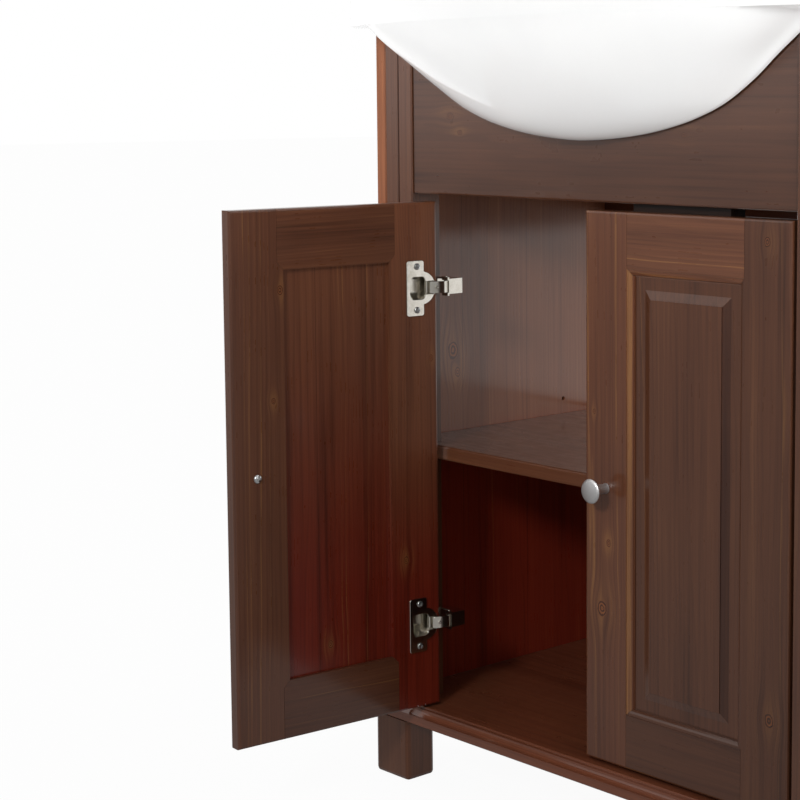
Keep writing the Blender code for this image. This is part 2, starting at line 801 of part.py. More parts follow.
def build_door(label, side, holder):
    end_round = DOOR_ROUND

    def stile(from_hinge):
        bm = frame_piece(DOOR_H, 0.0, FRAME_W)
        round_edges(
            bm,
            lambda p, q: (near(p[0], 0.0) and near(q[0], 0.0) and along(p, q, 2))
            or (along(p, q, 0) and (both(p, q, 2, 0.0) or both(p, q, 2, DOOR_H))),
            end_round,
        )
        if from_hinge:
            return to_door(bm, lambda c: door_local(c[0], c[1], c[2], side))
        return to_door(bm, lambda c: door_local(DOOR_W - c[0], c[1], c[2], side))

    def rail(top):
        bm = frame_piece(DOOR_W, FRAME_W + FIT, FRAME_W + FIT)
        round_edges(bm, lambda p, q: both(p, q, 0, 0.0) and along(p, q, 2), end_round)
        if top:
            return to_door(bm, lambda c: door_local(c[2], c[1], DOOR_H - c[0], side))
        return to_door(bm, lambda c: door_local(c[2], c[1], c[0], side))

    hinge_stile = link_object(label + "_hinge_stile", stile(True), WOOD, holder, 30.0)
    lock_stile = link_object(label + "_lock_stile", stile(False), WOOD, holder, 30.0)
    link_object(label + "_top_rail", rail(True), WOOD, holder, 30.0)
    link_object(label + "_bottom_rail", rail(False), WOOD, holder, 30.0)

    edge = FRAME_W + STICK_W - TONGUE_IN
    inset = TONGUE_IN
    steps = [(0.0, STICK_DEPTH + PANEL_TONGUE_T), (0.0, STICK_DEPTH)]
    steps.append((inset + FIELD_MARGIN, STICK_DEPTH))
    steps.append((inset + FIELD_MARGIN + FIELD_BEVEL, STICK_DEPTH - FIELD_RISE + 0.6))
    steps.append((inset + FIELD_MARGIN + FIELD_BEVEL, STICK_DEPTH - FIELD_RISE))
    bm = bmesh.new()
    rings = []
    for step, depth in steps:
        u0 = edge + step
        u1 = DOOR_W - edge - step
        w1 = DOOR_H - edge - step
        corners = ((u0, u0), (u1, u0), (u1, w1), (u0, w1))
        rings.append([bm.verts.new(door_local(u, depth, w, side)) for u, w in corners])
    bm.faces.new(rings[0])
    bm.faces.new(rings[-1])
    for ring, following in zip(rings, rings[1:]):
        for i in range(4):
            j = (i + 1) % 4
            bm.faces.new((ring[i], ring[j], following[j], following[i]))
    link_object(label + "_panel", bm, WOOD, holder)

    knob_u = DOOR_W - KNOB_EDGE
    middle = DOOR_H / 2 + KNOB_RISE
    front = -FIT
    bore = SCREW_R + FIT
    deep = front - KNOB_BORE
    tip = front - KNOB_OUT
    rim = tip + KNOB_DOME
    under = rim + KNOB_RIM
    neck = KNOB_NECK_R
    profile = [(0.0, deep), (bore, deep), (bore, front), (neck + 0.5, front), (neck, front - 1.2)]
    profile += [(neck, under + KNOB_BACK + 1.5), (neck + 1.4, under + KNOB_BACK - 0.6)]
    profile += [(KNOB_R - 1.4, under + 0.4), (KNOB_R, rim + KNOB_RIM * 0.55), (KNOB_R - 0.6, rim)]
    profile += [(KNOB_R * 0.8, rim - KNOB_DOME * 0.44), (KNOB_R * 0.45, rim - KNOB_DOME * 0.83), (0.0, tip)]
    knob = to_door(lathe(profile, 20), lambda c: door_local(knob_u + c[0], c[1], middle + c[2], side))
    link_object(label + "_knob", knob, NICKEL, holder, 50.0)
    head = DOOR_T + FIT
    tip = deep + FIT
    profile = [(0.0, tip), (SCREW_R, tip), (SCREW_R, head), (SCREW_HEAD_R, head)]
    profile += [(SCREW_HEAD_R - 0.3, head + 1.1), (SCREW_HEAD_R - 1.6, head + 2.2)]
    profile += [(0.0, head + SCREW_HEAD_H)]
    screw = to_door(lathe(profile, 16), lambda c: door_local(knob_u + c[0], c[1], middle + c[2], side))
    link_object(label + "_knob_screw", screw, STEEL, holder, 40.0)
    hole = bmesh.new()
    add_prism(hole, circle(knob_u, middle, SCREW_R + FIT, 16), -8.0, DOOR_T + 8.0, "Y")
    cut(lock_stile, to_door(hole, lambda c: door_local(c[0], c[1], c[2], side)), "knob_hole")

    bores = bmesh.new()
    base = DOOR_T + FIT + FLANGE_T + FIT
    tip = base - CUP_SCREW_L
    for level, z in zip(("lower", "upper"), HINGE_Z):
        w = z - DOOR_Z
        ring = circle(CUP_EDGE, w, CUP_R + FIT, CUP_SIDES)
        add_prism(bores, ring, DOOR_T - CUP_DEPTH - FIT, DOOR_T + 8.0, "Y")
        for place, step in (("low", -1), ("high", 1)):
            spot = w + step * CUP_SCREW_PITCH / 2
            ring = circle(CUP_SCREW_EDGE, spot, CUP_SHANK_R + FIT, 12)
            add_prism(bores, ring, tip - FIT, DOOR_T + 8.0, "Y")
            profile = [(0.0, tip), (CUP_SHANK_R, tip), (CUP_SHANK_R, base), (HINGE_SCREW_R, base)]
            profile += [(HINGE_SCREW_R - 0.8, base + HINGE_SCREW_H), (0.0, base + HINGE_SCREW_H)]
            screw = bmesh.new()
            add_lathe(screw, profile, 16, "Y", (CUP_SCREW_EDGE, 0.0, spot))
            name = label + "_" + level + "_cup_screw_" + place
            to_door(screw, lambda c: door_local(c[0], c[1], c[2], side))
            link_object(name, screw, STEEL, holder, 40.0)
        build_cup(label + "_" + level + "_cup", w, side, holder)
    cut(hinge_stile, to_door(bores, lambda c: door_local(c[0], c[1], c[2], side)), "cup_bores")


def moon_outline():
    """Outline of the cup's flange plate as (u, w) about the cup's own height."""
    turn = atan2(sqrt(FLANGE_MOON_R ** 2 - (CUP_EDGE - FLANGE_NEAR) ** 2), CUP_EDGE - FLANGE_NEAR)
    spots = []
    count = 14
    for i in range(count + 1):
        t = pi - turn + 2 * turn * i / count
        spots.append((CUP_EDGE + FLANGE_MOON_R * cos(t), FLANGE_MOON_R * sin(t)))
    c = FLANGE_CORNER
    low = -FLANGE_HALF
    spots += [(FLANGE_NEAR, low + c), (FLANGE_NEAR + c, low), (FLANGE_FAR - c, low), (FLANGE_FAR, low + c)]
    spots += [(FLANGE_FAR, -low - c), (FLANGE_FAR - c, -low)]
    spots += [(FLANGE_NEAR + c, -low), (FLANGE_NEAR, -low - c)]
    return spots


def window_outline(w):
    """The window in the flange, with a slot for the link on the side of the hinge edge."""
    c = WINDOW_CORNER
    slot = LINK_H / 2 + TURN_FIT + FIT
    half = [(WINDOW_FAR, WINDOW_HALF - c), (WINDOW_FAR - c * 0.3, WINDOW_HALF - c * 0.3)]
    half += [(WINDOW_FAR - c, WINDOW_HALF), (WINDOW_NEAR + c, WINDOW_HALF)]
    half += [(WINDOW_NEAR + c * 0.3, WINDOW_HALF - c * 0.3), (WINDOW_NEAR, slot), (SLOT_NEAR, slot)]
    upper = [(u, w + a) for u, a in half]
    lower = [(u, w - a) for u, a in half[::-1]]
    return upper + lower


def build_cup(name, w, side, holder):
    base = DOOR_T + FIT
    face = base + FLANGE_T
    bm = prism([(u, w + a) for u, a in moon_outline()], base, face, "Y")
    item = link_object(name, to_door(bm, lambda c: door_local(c[0], c[1], c[2], side)), NICKEL, holder, 40.0)
    deep = DOOR_T - CUP_DEPTH
    body = prism(circle(CUP_EDGE, w, CUP_R, CUP_SIDES), deep, base + FLANGE_T / 2, "Y")
    fuse(item, to_door(body, lambda c: door_local(c[0], c[1], c[2], side)), "barrel")
    hollow = prism(circle(CUP_EDGE, w, CUP_R - CUP_WALL, CUP_SIDES), deep + CUP_WALL, base, "Y")
    cut(item, to_door(hollow, lambda c: door_local(c[0], c[1], c[2], side)), "hollow")
    window = prism(window_outline(w), base - FLANGE_T, face + HOLE_LEAD, "Y")
    for step in (-1, 1):
        spot = w + step * CUP_SCREW_PITCH / 2
        ring = circle(CUP_SCREW_EDGE, spot, CUP_SHANK_R + FIT, 12)
        add_prism(window, ring, base - HOLE_LEAD, face + HOLE_LEAD, "Y")
    cut(item, to_door(window, lambda c: door_local(c[0], c[1], c[2], side)), "window")
    ring = circle(PIVOT_INSET, DOOR_T - PIVOT_DEPTH, HINGE_PIN_R, 16)
    pin = prism(ring, w - CUP_PIN_HALF, w + CUP_PIN_HALF)
    fuse(item, to_door(pin, lambda c: door_local(c[0], c[1], c[2], side)), "pin")


def link_outline():
    """Outline of the hinge link, from the cup pin at zero to the arm pin at LINK_LENGTH."""
    middle = [(0.0, 0.0), (2.2, -5.0), (4.6, -7.2), (9.0, -7.2), (15.3, -4.3), (LINK_LENGTH, 0.0)]
    half = LINK_T / 2
    sides = ([], [])
    for i, spot in enumerate(middle):
        before = middle[max(0, i - 1)]
        after = middle[min(len(middle) - 1, i + 1)]
        way = Vector((after[0] - before[0], after[1] - before[1])).normalized()
        across = Vector((-way[1], way[0])) * half
        sides[0].append((spot[0] + across[0], spot[1] + across[1]))
        sides[1].append((spot[0] - across[0], spot[1] - across[1]))
    outline = sides[0][1:-1]
    outline += eye_arc(middle[-1], sides[0][-2], sides[1][-2])
    outline += sides[1][-2:0:-1]
    outline += eye_arc(middle[0], sides[1][1], sides[0][1])
    return outline


def eye_arc(centre, start, stop):
    """Goes round the eye the long way from the side of start to the side of stop, clockwise."""
    a = atan2(start[1] - centre[1], start[0] - centre[0])
    b = atan2(stop[1] - centre[1], stop[0] - centre[0])
    a -= 0.42
    b += 0.42
    while b > a:
        b -= 2 * pi
    count = 14
    return [
        (
            centre[0] + EYE_R * cos(a + (b - a) * i / count),
            centre[1] + EYE_R * sin(a + (b - a) * i / count),
        )
        for i in range(count + 1)
    ]


def build_links(label, side, holder, root_turn):
    for level, z in zip(("lower", "upper"), HINGE_Z):
        shape = [(LINK_LENGTH - a, -b) for a, b in link_outline()]
        turned = Matrix.Rotation(radians(root_turn), 2)
        shape = [turned @ Vector(p) for p in shape]
        points = [(-side * p[0], p[1]) for p in shape]
        item = link_object(
            label + "_" + level + "_link",
            prism(points, z - LINK_H / 2, z + LINK_H / 2),
            NICKEL,
            holder,
            40.0,
        )
        far = turned @ Vector((LINK_LENGTH, 0.0))
        holes = bmesh.new()
        for x, y in ((0.0, 0.0), (-side * far[0], far[1])):
            add_prism(holes, circle(x, y, HINGE_PIN_R + TURN_FIT, 16), z - LINK_H, z + LINK_H)
        cut(item, holes, "eyes")


def build_fixed_hinges(label, side, root):
    """Arms with their pins and the mounting plates of one door, on the inner face of the post."""

    def spot(a, b):
        return (side * (DOOR_EDGE_X - a), INNER_Y + b)

    inner = LINK_H / 2 + TURN_FIT
    outer = inner + CHEEK_T
    nose = ARM_IN + ARM_SKIN
    skin = nose - CHEEK_T
    edge = CHEEK_T / 3
    for level, z in zip(("lower", "upper"), HINGE_Z):
        shape = [(ARM_IN - EYE_R, COLLAR_FRONT), (ARM_IN + EYE_R, COLLAR_FRONT), (nose, COLLAR_BACK)]
        shape += [(nose, ARM_END), (ARM_FOOT, ARM_END), (ARM_FOOT, ARM_HEEL), (ARM_BEND, ARM_HEEL)]
        shape += [(ARM_IN - CHEEK_BACK, COLLAR_BACK + EYE_R)]
        bm = prism([spot(a, b) for a, b in shape], z - outer, z + outer)
        item = link_object(label + "_" + level + "_arm", bm, NICKEL, root)
        band = [(ARM_IN - CHEEK_BACK, COLLAR_FRONT), (nose + edge, COLLAR_FRONT)]
        band += [(nose + edge, COLLAR_BACK), (ARM_IN - CHEEK_BACK, COLLAR_BACK)]
        fuse(item, prism([spot(a, b) for a, b in band], z - COLLAR_HALF, z + COLLAR_HALF), "collar")
        wide = nose + HOLE_LEAD
        back = ARM_END + HOLE_LEAD
        inside = [(-PLATE_H, -HOLE_LEAD), (wide, -HOLE_LEAD), (wide, COVER_FROM), (skin, COVER_FROM)]
        inside += [(skin, back), (-PLATE_H, back)]
        cut(item, prism([spot(a, b) for a, b in inside], z - inner, z + inner), "channel")
        x, y = spot(ARM_IN, ARM_BACK)
        tall = COLLAR_HALF + edge
        fuse(item, prism(circle(x, y, HINGE_PIN_R, 16), z - tall, z + tall), "pin")
        build_plate(label + "_" + level + "_plate", side, z, root)


def plate_places(z):
    """Centres of the two pegs of a mounting plate, as (y, z)."""
    y = (PLATE_Y0 + PLATE_Y1) / 2
    return ((y, z - PEG_PITCH / 2), (y, z + PEG_PITCH / 2))


def build_plate(name, side, z, root):
    """Mounting plate on the post, with a block that carries the arm and two pegs in the post."""
    face = POST_IN - FIT
    top = face - PLATE_T
    bevel = PLATE_BEVEL
    points = [(face, PLATE_Y0), (top, PLATE_Y0 + bevel), (top, PLATE_Y1 - bevel), (face, PLATE_Y1)]
    bm = prism([(side * x, y) for x, y in points], z - PLATE_H / 2, z + PLATE_H / 2)
    item = link_object(name, bm, NICKEL, root)
    start = top + bevel
    end = DOOR_EDGE_X - ARM_FOOT - BLOCK_OUT
    half = LINK_H / 2 + TURN_FIT - FIT
    back = INNER_Y + ARM_END - BLOCK_BACK
    block = [(start, back - BLOCK_LENGTH), (start, back), (end, back), (end, back - BLOCK_LENGTH)]
    fuse(item, prism([(side * x, y) for x, y in block], z - half, z + half), "block")
    pegs = bmesh.new()
    for y, height in plate_places(z):
        ends = sorted((side * start, side * (POST_IN + PEG_L)))
        add_prism(pegs, circle(y, height, PEG_R, PEG_SIDES), ends[0], ends[1], "X")
    fuse(item, pegs, "pegs")


def open_place(side, share):
    """Place of the cup pin when the door has made this share of its opening."""
    turn = radians(LINK_CLOSED + LINK_SWING * share)
    x = DOOR_EDGE_X - ARM_IN - LINK_LENGTH * cos(turn)
    y = INNER_Y + ARM_BACK + LINK_LENGTH * sin(turn)
    return (side * x, y)


def main():
    clear_scene()
    pin_x, pin_y = open_place(-1, 1.0)
    turn = radians(OPENING)
    corner_y = pin_y - (DOOR_W - PIVOT_INSET) * sin(turn) - (DOOR_T - PIVOT_DEPTH - DOOR_T) * cos(turn)
    middle = (corner_y + CABINET_D) / 2
    root = empty("vanity_unit", None, (0.0, -middle, 0.0))
    for label, side in (("left", -1), ("right", 1)):
        build_side(label + "_side", side, root)
        build_post(label + "_post", side, root)
        build_foot(label + "_front_foot", side, True, root)
        build_foot(label + "_back_foot", side, False, root)
    build_fascia(root)
    build_bottom_board(root)
    build_back("upper_back_rail", FASCIA_Z - BACK_DROP, CABINET_TOP - BACK_TOP_GAP, root)
    build_back("lower_back_panel", FLOOR_Z + FIT, SHELF_TOP, root)
    build_shelf(root)
    build_stop(root)
    build_basin(root)
    for label, side, share in (("left", -1, 1.0), ("right", 1, 0.0)):
        build_fixed_hinges(label, side, root)
        arm = (side * (DOOR_EDGE_X - ARM_IN), INNER_Y + ARM_BACK, 0.0)
        link_holder = empty(label + "_link_axis", root, arm)
        turned = LINK_CLOSED + LINK_SWING * share
        build_links(label, side, link_holder, turned)
        x, y = open_place(side, share)
        door_holder = empty(label + "_door_axis", root, (x, y, DOOR_Z), side * OPENING * share)
        build_door(label, side, door_holder)


main()
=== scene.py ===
from math import atan2
from math import cos
from math import degrees
from math import pi
from math import radians
from math import sin
from math import sqrt

import bmesh
import bpy
from mathutils import Matrix
from mathutils import Vector


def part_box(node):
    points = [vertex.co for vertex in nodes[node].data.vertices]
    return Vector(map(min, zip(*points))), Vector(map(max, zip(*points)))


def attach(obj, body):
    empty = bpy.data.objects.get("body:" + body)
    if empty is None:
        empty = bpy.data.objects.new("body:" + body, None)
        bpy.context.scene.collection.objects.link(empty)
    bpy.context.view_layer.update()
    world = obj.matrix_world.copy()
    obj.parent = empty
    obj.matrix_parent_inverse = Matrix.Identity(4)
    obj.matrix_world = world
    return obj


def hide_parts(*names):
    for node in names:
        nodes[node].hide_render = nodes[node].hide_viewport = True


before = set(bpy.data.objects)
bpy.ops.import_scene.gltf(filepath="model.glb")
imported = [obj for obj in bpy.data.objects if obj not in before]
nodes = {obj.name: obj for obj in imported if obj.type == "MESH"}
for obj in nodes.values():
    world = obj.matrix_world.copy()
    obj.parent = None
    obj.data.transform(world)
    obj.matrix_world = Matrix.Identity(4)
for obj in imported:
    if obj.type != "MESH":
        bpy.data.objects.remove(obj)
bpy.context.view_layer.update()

# Shapes are in millimetres, set out from the front plane of the posts. Materials, lamps and the camera
# are in metres, set out from the frame's origin.
MM = 0.001
# Where the front plane of the posts lies from the origin
FRONT_Y = -59.2277

# Sizes of the solids that the finer pieces stand for
DOOR_T = 16.0
DOOR_W = 263.0
DOOR_H = 567.0
DOOR_Z = 92.0
DOOR_EDGE_X = 264.5
DOOR_PROUD = 1.0
OPENING = 95.0
OPEN_PIN = (-242.34, -1.07)
SHUT_PIN = (-254.5, 10.0)
ARM_PIN = (234.0, 20.3)
HINGE_Z = (186.5, 564.5)
FIT = 0.3
# How far a cutter reaches out of what it cuts
CUT_OVER = 4.0
# Door panels: where the frame's moulding ends, the depths of the panel, and its margin, bevel and field
FRAME_EDGE = 57.4
PANEL_BACK = 11.0
PANEL_FRONT = 6.0
MARGIN = 19.1
BEVEL_W = 9.0
BEVEL_RISE = 2.6
FIELD = 2.4
FIELD_EDGE = FRAME_EDGE + MARGIN + BEVEL_W


class Web:
    """Short calls for laying out the nodes of one material or world."""

    def __init__(self, owner, out="ShaderNodeOutputMaterial"):
        owner.use_nodes = True
        self.owner = owner
        self.tree = owner.node_tree
        self.tree.nodes.clear()
        self.out = self.node(out)

    def put(self, socket, value):
        if isinstance(value, bpy.types.NodeSocket):
            self.tree.links.new(value, socket)
        else:
            socket.default_value = value

    def node(self, kind, **inputs):
        """A new node. Its inputs are named with _ for a blank."""
        node = self.tree.nodes.new(kind)
        for name, value in inputs.items():
            self.put(node.inputs[name.replace("_", " ")], value)
        return node

    def fed(self, node, *values):
        """The first output of a node whose first inputs take the values."""
        for socket, value in zip(node.inputs, values):
            self.put(socket, value)
        return node.outputs[0]

    def math(self, operation, *values):
        node = self.node("ShaderNodeMath")
        node.operation = operation
        return self.fed(node, *values)

    def add(self, a, b):
        return self.math("ADD", a, b)

    def less(self, a, b):
        return self.math("SUBTRACT", a, b)

    def times(self, a, b):
        return self.math("MULTIPLY", a, b)

    def apart(self, offsets, units):
        """Squared distance of two offsets, each in its own unit."""
        squares = [self.math("POWER", self.math("DIVIDE", *pair), 2.0) for pair in zip(offsets, units)]
        return self.add(*squares)

    def between(self, value, low, high, to_low=0.0, to_high=1.0):
        """A soft ramp from to_low, where the value is low, to to_high, where it is high."""
        node = self.node("ShaderNodeMapRange")
        node.interpolation_type = "SMOOTHSTEP"
        return self.fed(node, value, low, high, to_low, to_high)

    def vector(self, x, y, z):
        return self.fed(self.node("ShaderNodeCombineXYZ"), x, y, z)

    def stretched(self, place, scale, move=(0.0, 0.0, 0.0)):
        return self.node("ShaderNodeMapping", Vector=place, Scale=scale, Location=move).outputs[0]

    def noise(self, place, scale, detail=3.0, rough=0.55):
        node = self.node("ShaderNodeTexNoise", Vector=place, Scale=scale, Detail=detail, Roughness=rough)
        return node.outputs["Fac"]

    def mix(self, share, a, b):
        node = self.node("ShaderNodeMix")
        node.data_type = "RGBA"
        self.put(node.inputs[0], share)
        self.put(node.inputs[6], a)
        self.put(node.inputs[7], b)
        return node.outputs[2]

    def blend(self, share, a, b):
        return self.fed(self.node("ShaderNodeMixShader"), share, a.outputs[0], b.outputs[0])

    def bump(self, height, strength, distance):
        return self.node("ShaderNodeBump", Strength=strength, Distance=distance, Height=height).outputs[0]

    def place(self):
        return self.node("ShaderNodeTexCoord").outputs["Object"]

    def rays(self):
        return self.node("ShaderNodeLightPath").outputs

    def turned(self, place, centre, angle):
        node = self.node("ShaderNodeVectorRotate")
        node.rotation_type = "Z_AXIS"
        self.put(node.inputs["Vector"], place)
        self.put(node.inputs["Center"], centre)
        self.put(node.inputs["Angle"], angle)
        return node.outputs[0]

    def leant(self, normal, reach):
        """The normal leant back by a share of its length."""
        if not reach:
            return normal
        lean = self.fed(self.node("ShaderNodeVectorMath"), normal, (0.0, reach, 0.0))
        even = self.node("ShaderNodeVectorMath")
        even.operation = "NORMALIZE"
        return self.fed(even, lean)

    def parts(self, place):
        node = self.node("ShaderNodeSeparateXYZ")
        self.put(node.inputs[0], place)
        return node.outputs

    def surface(self, output):
        self.put(self.out.inputs["Surface"], output)

    def shader(self, **settings):
        self.surface(self.node("ShaderNodeBsdfPrincipled", **settings).outputs[0])


def dress(node, material):
    item = nodes[node]
    if not item.data.materials:
        item.data.materials.append(material)
    for slot in item.material_slots:
        slot.material = material


AXES = {"X": 0, "Y": 1, "Z": 2}
# Stain colours from dark to pale, for wood seen from outside and for the redder inside, whose red is partly
# painted shade
BROWN = ((0.048, 0.0149, 0.0070), (0.129, 0.0463, 0.0217), (0.207, 0.0827, 0.0371))
RED = ((0.043, 0.0043, 0.0019), (0.130, 0.0132, 0.0058), (0.186, 0.0281, 0.0108))
GOLD = (0.330, 0.1500, 0.0480)
KNOT_AND_SHADE_DARK = (0.040, 0.0110, 0.0050)
KNOT_RED = (0.220, 0.0700, 0.0220)
# How far a knot bends the grain and how big its core is, in knot radii along and across the grain
KNOT_REACH = (3.2, 1.9)
KNOT_CORE = (1.15, 0.85)
KNOT_PUSH = 0.84
KNOT_RINGS = 15.0
# Widths of the soft edges of the strips of painted highlight and painted shade
HIGHLIGHT_SOFT = 0.0008
DIM_SOFT = 0.0003
DIM_MITRE = 0.0005
LACQUER_ROUGH = 0.145
LEFT_PIN = (OPEN_PIN[0] * MM, (OPEN_PIN[1] + FRONT_Y) * MM, 0.0)


def knot_marks(web, place, along, across, knots):
    """The place across, pushed aside by the knots, how near they are, their cores and the rings in these."""
    pushed = across
    swirl = 0.0
    core = 0.0
    core_rings = 0.0
    ragged = web.less(web.noise(place, 160.0, 2.0), 0.5)
    for k_along, k_across, size in knots:
        offsets = (web.less(along, k_along), web.less(across, k_across))
        near = web.apart(offsets, [size * reach for reach in KNOT_REACH])
        pull = web.math("EXPONENT", web.times(near, -1.0))
        pushed = web.less(pushed, web.times(web.times(offsets[1], pull), KNOT_PUSH))
        swirl = web.add(swirl, pull)
        reach = web.math("SQRT", web.apart(offsets, [size * wide for wide in KNOT_CORE]))
        reach = web.add(reach, web.times(ragged, 0.5))
        inside = web.between(reach, 1.05, 0.75)
        rings = web.math("SINE", web.times(reach, KNOT_RINGS))
        core_rings = web.add(web.times(core_rings, web.less(1.0, inside)), web.times(rings, inside))
        core = web.math("MAXIMUM", core, inside)
    return pushed, swirl, core, core_rings


def wood(node, order, seed, pith, ring=0.0042, gold=0.3, shade=1.0, warm=0.0,
         knots=(), joints=(), seam=0.0007, golden_highlight=None, dim=None, coat=0.70, open_door=False):
    """Dresses a node in stained and lacquered pine.

    order names the axes along the grain, across the face and into the board.
    pith is the centre of the year rings across the face and into the board, and ring their width.
    gold is how many rings stay golden, shade how pale and warm how red the stain is, and coat the lacquer.
    shade is set board by board, and on some boards it also paints in light and shade.
    Where coat changes with the height, it is (height, value, height, value). Where only an inner face
    is red, warm has the depths between which it turns red first, and then heights and values alike; the red
    that fades out upwards is partly painted shade, for the dark red low in the cabinet.
    knots are (along, across, radius). joints are places across the face where two boards are glued or
    a groove runs, each seam wide to both sides. golden_highlight is a strip across the face painted pale
    and golden, a painted highlight, and dim one painted dark, a painted shade, with mitred ends:
    (across, across, along, along).
    open_door is for the left door, whose wood is laid out as if it were shut.
    """
    web = Web(bpy.data.materials.new(node + "_pine"))
    place = web.place()
    if open_door:
        place = web.turned(place, LEFT_PIN, radians(OPENING))
    parts = web.parts(place)
    along, across, deep = (parts[AXES[axis]] for axis in order)
    pushed, swirl, core, core_rings = knot_marks(web, place, along, across, knots)

    # Long waves, fibres, fine hairs and broad bands run with the grain, and clouds lie over it
    grain = web.vector(web.add(along, seed * 3.1), pushed, deep)
    drift = (seed * 1.7, seed * 0.9, seed * 2.3)
    wander = web.noise(web.stretched(grain, (1.3, 7.0, 7.0), drift), 1.6, 3.0, 0.5)
    fibre = web.noise(web.stretched(grain, (4.0, 240.0, 240.0)), 1.0, 5.0, 0.62)
    hairs = web.noise(web.stretched(grain, (16.0, 1000.0, 1000.0)), 1.0, 2.0, 0.5)
    band = web.noise(web.stretched(grain, (0.8, 34.0, 34.0)), 1.0, 2.0, 0.5)
    drift = (seed * 2.1, seed * 1.3, seed * 0.7)
    cloud = web.noise(web.stretched(place, (5.0, 5.0, 5.0), drift), 1.0, 2.0, 0.5)

    # Year rings about the pith, each with dark late wood at its end and a luck of its own
    lean = web.times(along, 0.012 * (1 if seed % 2 else -1))
    warp = web.times(web.less(wander, 0.5), 0.030)
    t = web.add(web.less(pushed, pith[0]), web.add(warp, lean))
    r = web.add(web.less(deep, pith[1]), web.times(warp, 0.5))
    radius = web.math("SQRT", web.apart((t, r), (1.0, 1.0)))
    turns = web.add(web.math("DIVIDE", radius, ring), web.times(web.less(fibre, 0.5), 0.30))
    turns = web.add(turns, web.times(band, 3.0))
    year = web.math("FRACT", turns)
    late = web.times(web.between(year, 0.55, 0.86), web.between(year, 1.0, 0.92))
    chance = web.node("ShaderNodeTexWhiteNoise")
    chance.noise_dimensions = "1D"
    web.put(chance.inputs["W"], web.add(web.math("FLOOR", turns), seed * 7.0))
    lucky = chance.outputs["Value"]

    def by_height(value):
        return web.between(parts[2], *value[::2], *value[1::2]) if isinstance(value, tuple) else value

    redness = warm
    if isinstance(warm, tuple):
        redness = web.times(by_height(warm[2:]), web.between(deep, *warm[:2]))

    def shaded(colour):
        return tuple(part * shade for part in colour) + (1.0,)

    def stain(step):
        return web.mix(redness, shaded(BROWN[step]), shaded(RED[step]))

    # Stain from dark to pale, then dark early wood, golden late wood and dark pores
    tint = web.add(web.times(web.less(fibre, 0.5), 0.75), web.times(web.less(band, 0.5), 0.55))
    tint = web.add(tint, web.times(web.less(cloud, 0.5), 0.35))
    tint = web.add(tint, 0.5)
    dark = stain(0)
    colour = web.mix(web.between(tint, 0.10, 0.56), dark, stain(1))
    colour = web.mix(web.between(tint, 0.52, 0.98), colour, stain(2))
    early = web.times(web.between(year, 0.45, 0.1), web.between(lucky, 0.0, 1.0, 0.02, 0.24))
    colour = web.mix(early, colour, dark)
    chosen = web.between(lucky, 1.0 - 0.85 * gold, 1.04, 0.02 + 0.05 * gold, 0.60)
    streak = web.times(web.times(late, chosen), web.between(hairs, 0.36, 0.60, 0.35, 1.0))
    streak = web.times(streak, web.between(cloud, 0.38, 0.62, 0.25, 1.0))
    colour = web.mix(streak, colour, shaded(GOLD))
    colour = web.mix(web.times(web.between(hairs, 0.46, 0.28), 0.18), colour, dark)

    # Knots, dark lines at glue joints and grooves, and the strips of painted shade and painted highlight
    if knots:
        glow = web.times(web.math("MINIMUM", swirl, 1.0), web.between(fibre, 0.40, 0.66, 0.0, 0.42))
        colour = web.mix(glow, colour, shaded(GOLD))
        knot_colour = web.mix(web.between(core_rings, -0.9, 0.9), shaded(KNOT_AND_SHADE_DARK), shaded(KNOT_RED))
        colour = web.mix(web.times(core, 0.9), colour, knot_colour)
    for spot in joints:
        gap = web.math("ABSOLUTE", web.less(across, spot))
        colour = web.mix(web.between(gap, seam, seam * 0.3, 0.0, 0.7), colour, dark)
    # The dim strip is painted shade, in the knots' darkest colour.
    if dim:
        near, far, low, high = dim
        beyond = web.math("MAXIMUM", web.less(along, high), web.less(low, along))
        mitre = web.less(web.less(across, near), beyond)
        strip = web.between(across, near - DIM_SOFT, near)
        strip = web.times(strip, web.between(across, far, far - DIM_SOFT * 2))
        strip = web.times(strip, web.between(mitre, 0.0, DIM_MITRE))
        strip = web.times(strip, web.between(fibre, 0.3, 0.7, 0.85, 0.6))
        colour = web.mix(strip, colour, shaded(KNOT_AND_SHADE_DARK))
    # The golden highlight strip is painted light, a painted highlight along a moulding.
    if golden_highlight:
        near, far = golden_highlight
        strip = web.between(across, near, near + HIGHLIGHT_SOFT)
        strip = web.times(strip, web.between(across, far, far - HIGHLIGHT_SOFT))
        strip = web.times(strip, web.between(fibre, 0.30, 0.62, 0.15, 0.60))
        colour = web.mix(strip, colour, shaded(GOLD))

    height = web.add(web.times(late, 0.35), web.times(hairs, 0.6))
    height = web.add(height, web.times(fibre, 0.6))
    wear = web.noise(place, 38.0, 3.0, 0.6)
    web.shader(
        Base_Color=colour,
        Roughness=web.add(web.between(wear, 0.3, 0.7, 0.30, 0.40), web.times(late, -0.04)),
        Normal=web.bump(height, 0.14, 0.0005),
        Specular_IOR_Level=0.22,
        Coat_Weight=by_height(coat),
        Coat_Roughness=LACQUER_ROUGH,
    )
    dress(node, web.owner)
    return web.owner


def metal(name, colour, stained, rough, drawn_scale, bow=0.0):
    """Plated metal with a faint drawn texture and small stains.

    bow leans its shine back, as on a bowed plate.
    """
    web = Web(bpy.data.materials.new(name))
    place = web.place()
    drawn = web.noise(web.stretched(place, drawn_scale), 14.0, 3.0, 0.6)
    cloud = web.noise(place, 110.0, 3.0, 0.6)
    web.shader(
        Base_Color=web.mix(web.between(cloud, 0.35, 0.7), colour, stained),
        Roughness=web.add(web.between(cloud, 0.3, 0.7, *rough), web.times(drawn, 0.05)),
        Metallic=1.0,
        Normal=web.leant(web.bump(drawn, 0.03, 0.0001), bow),
    )
    return web.owner


GLAZE = ((0.845, 0.846, 0.846, 1.0), (0.865, 0.865, 0.862, 1.0))


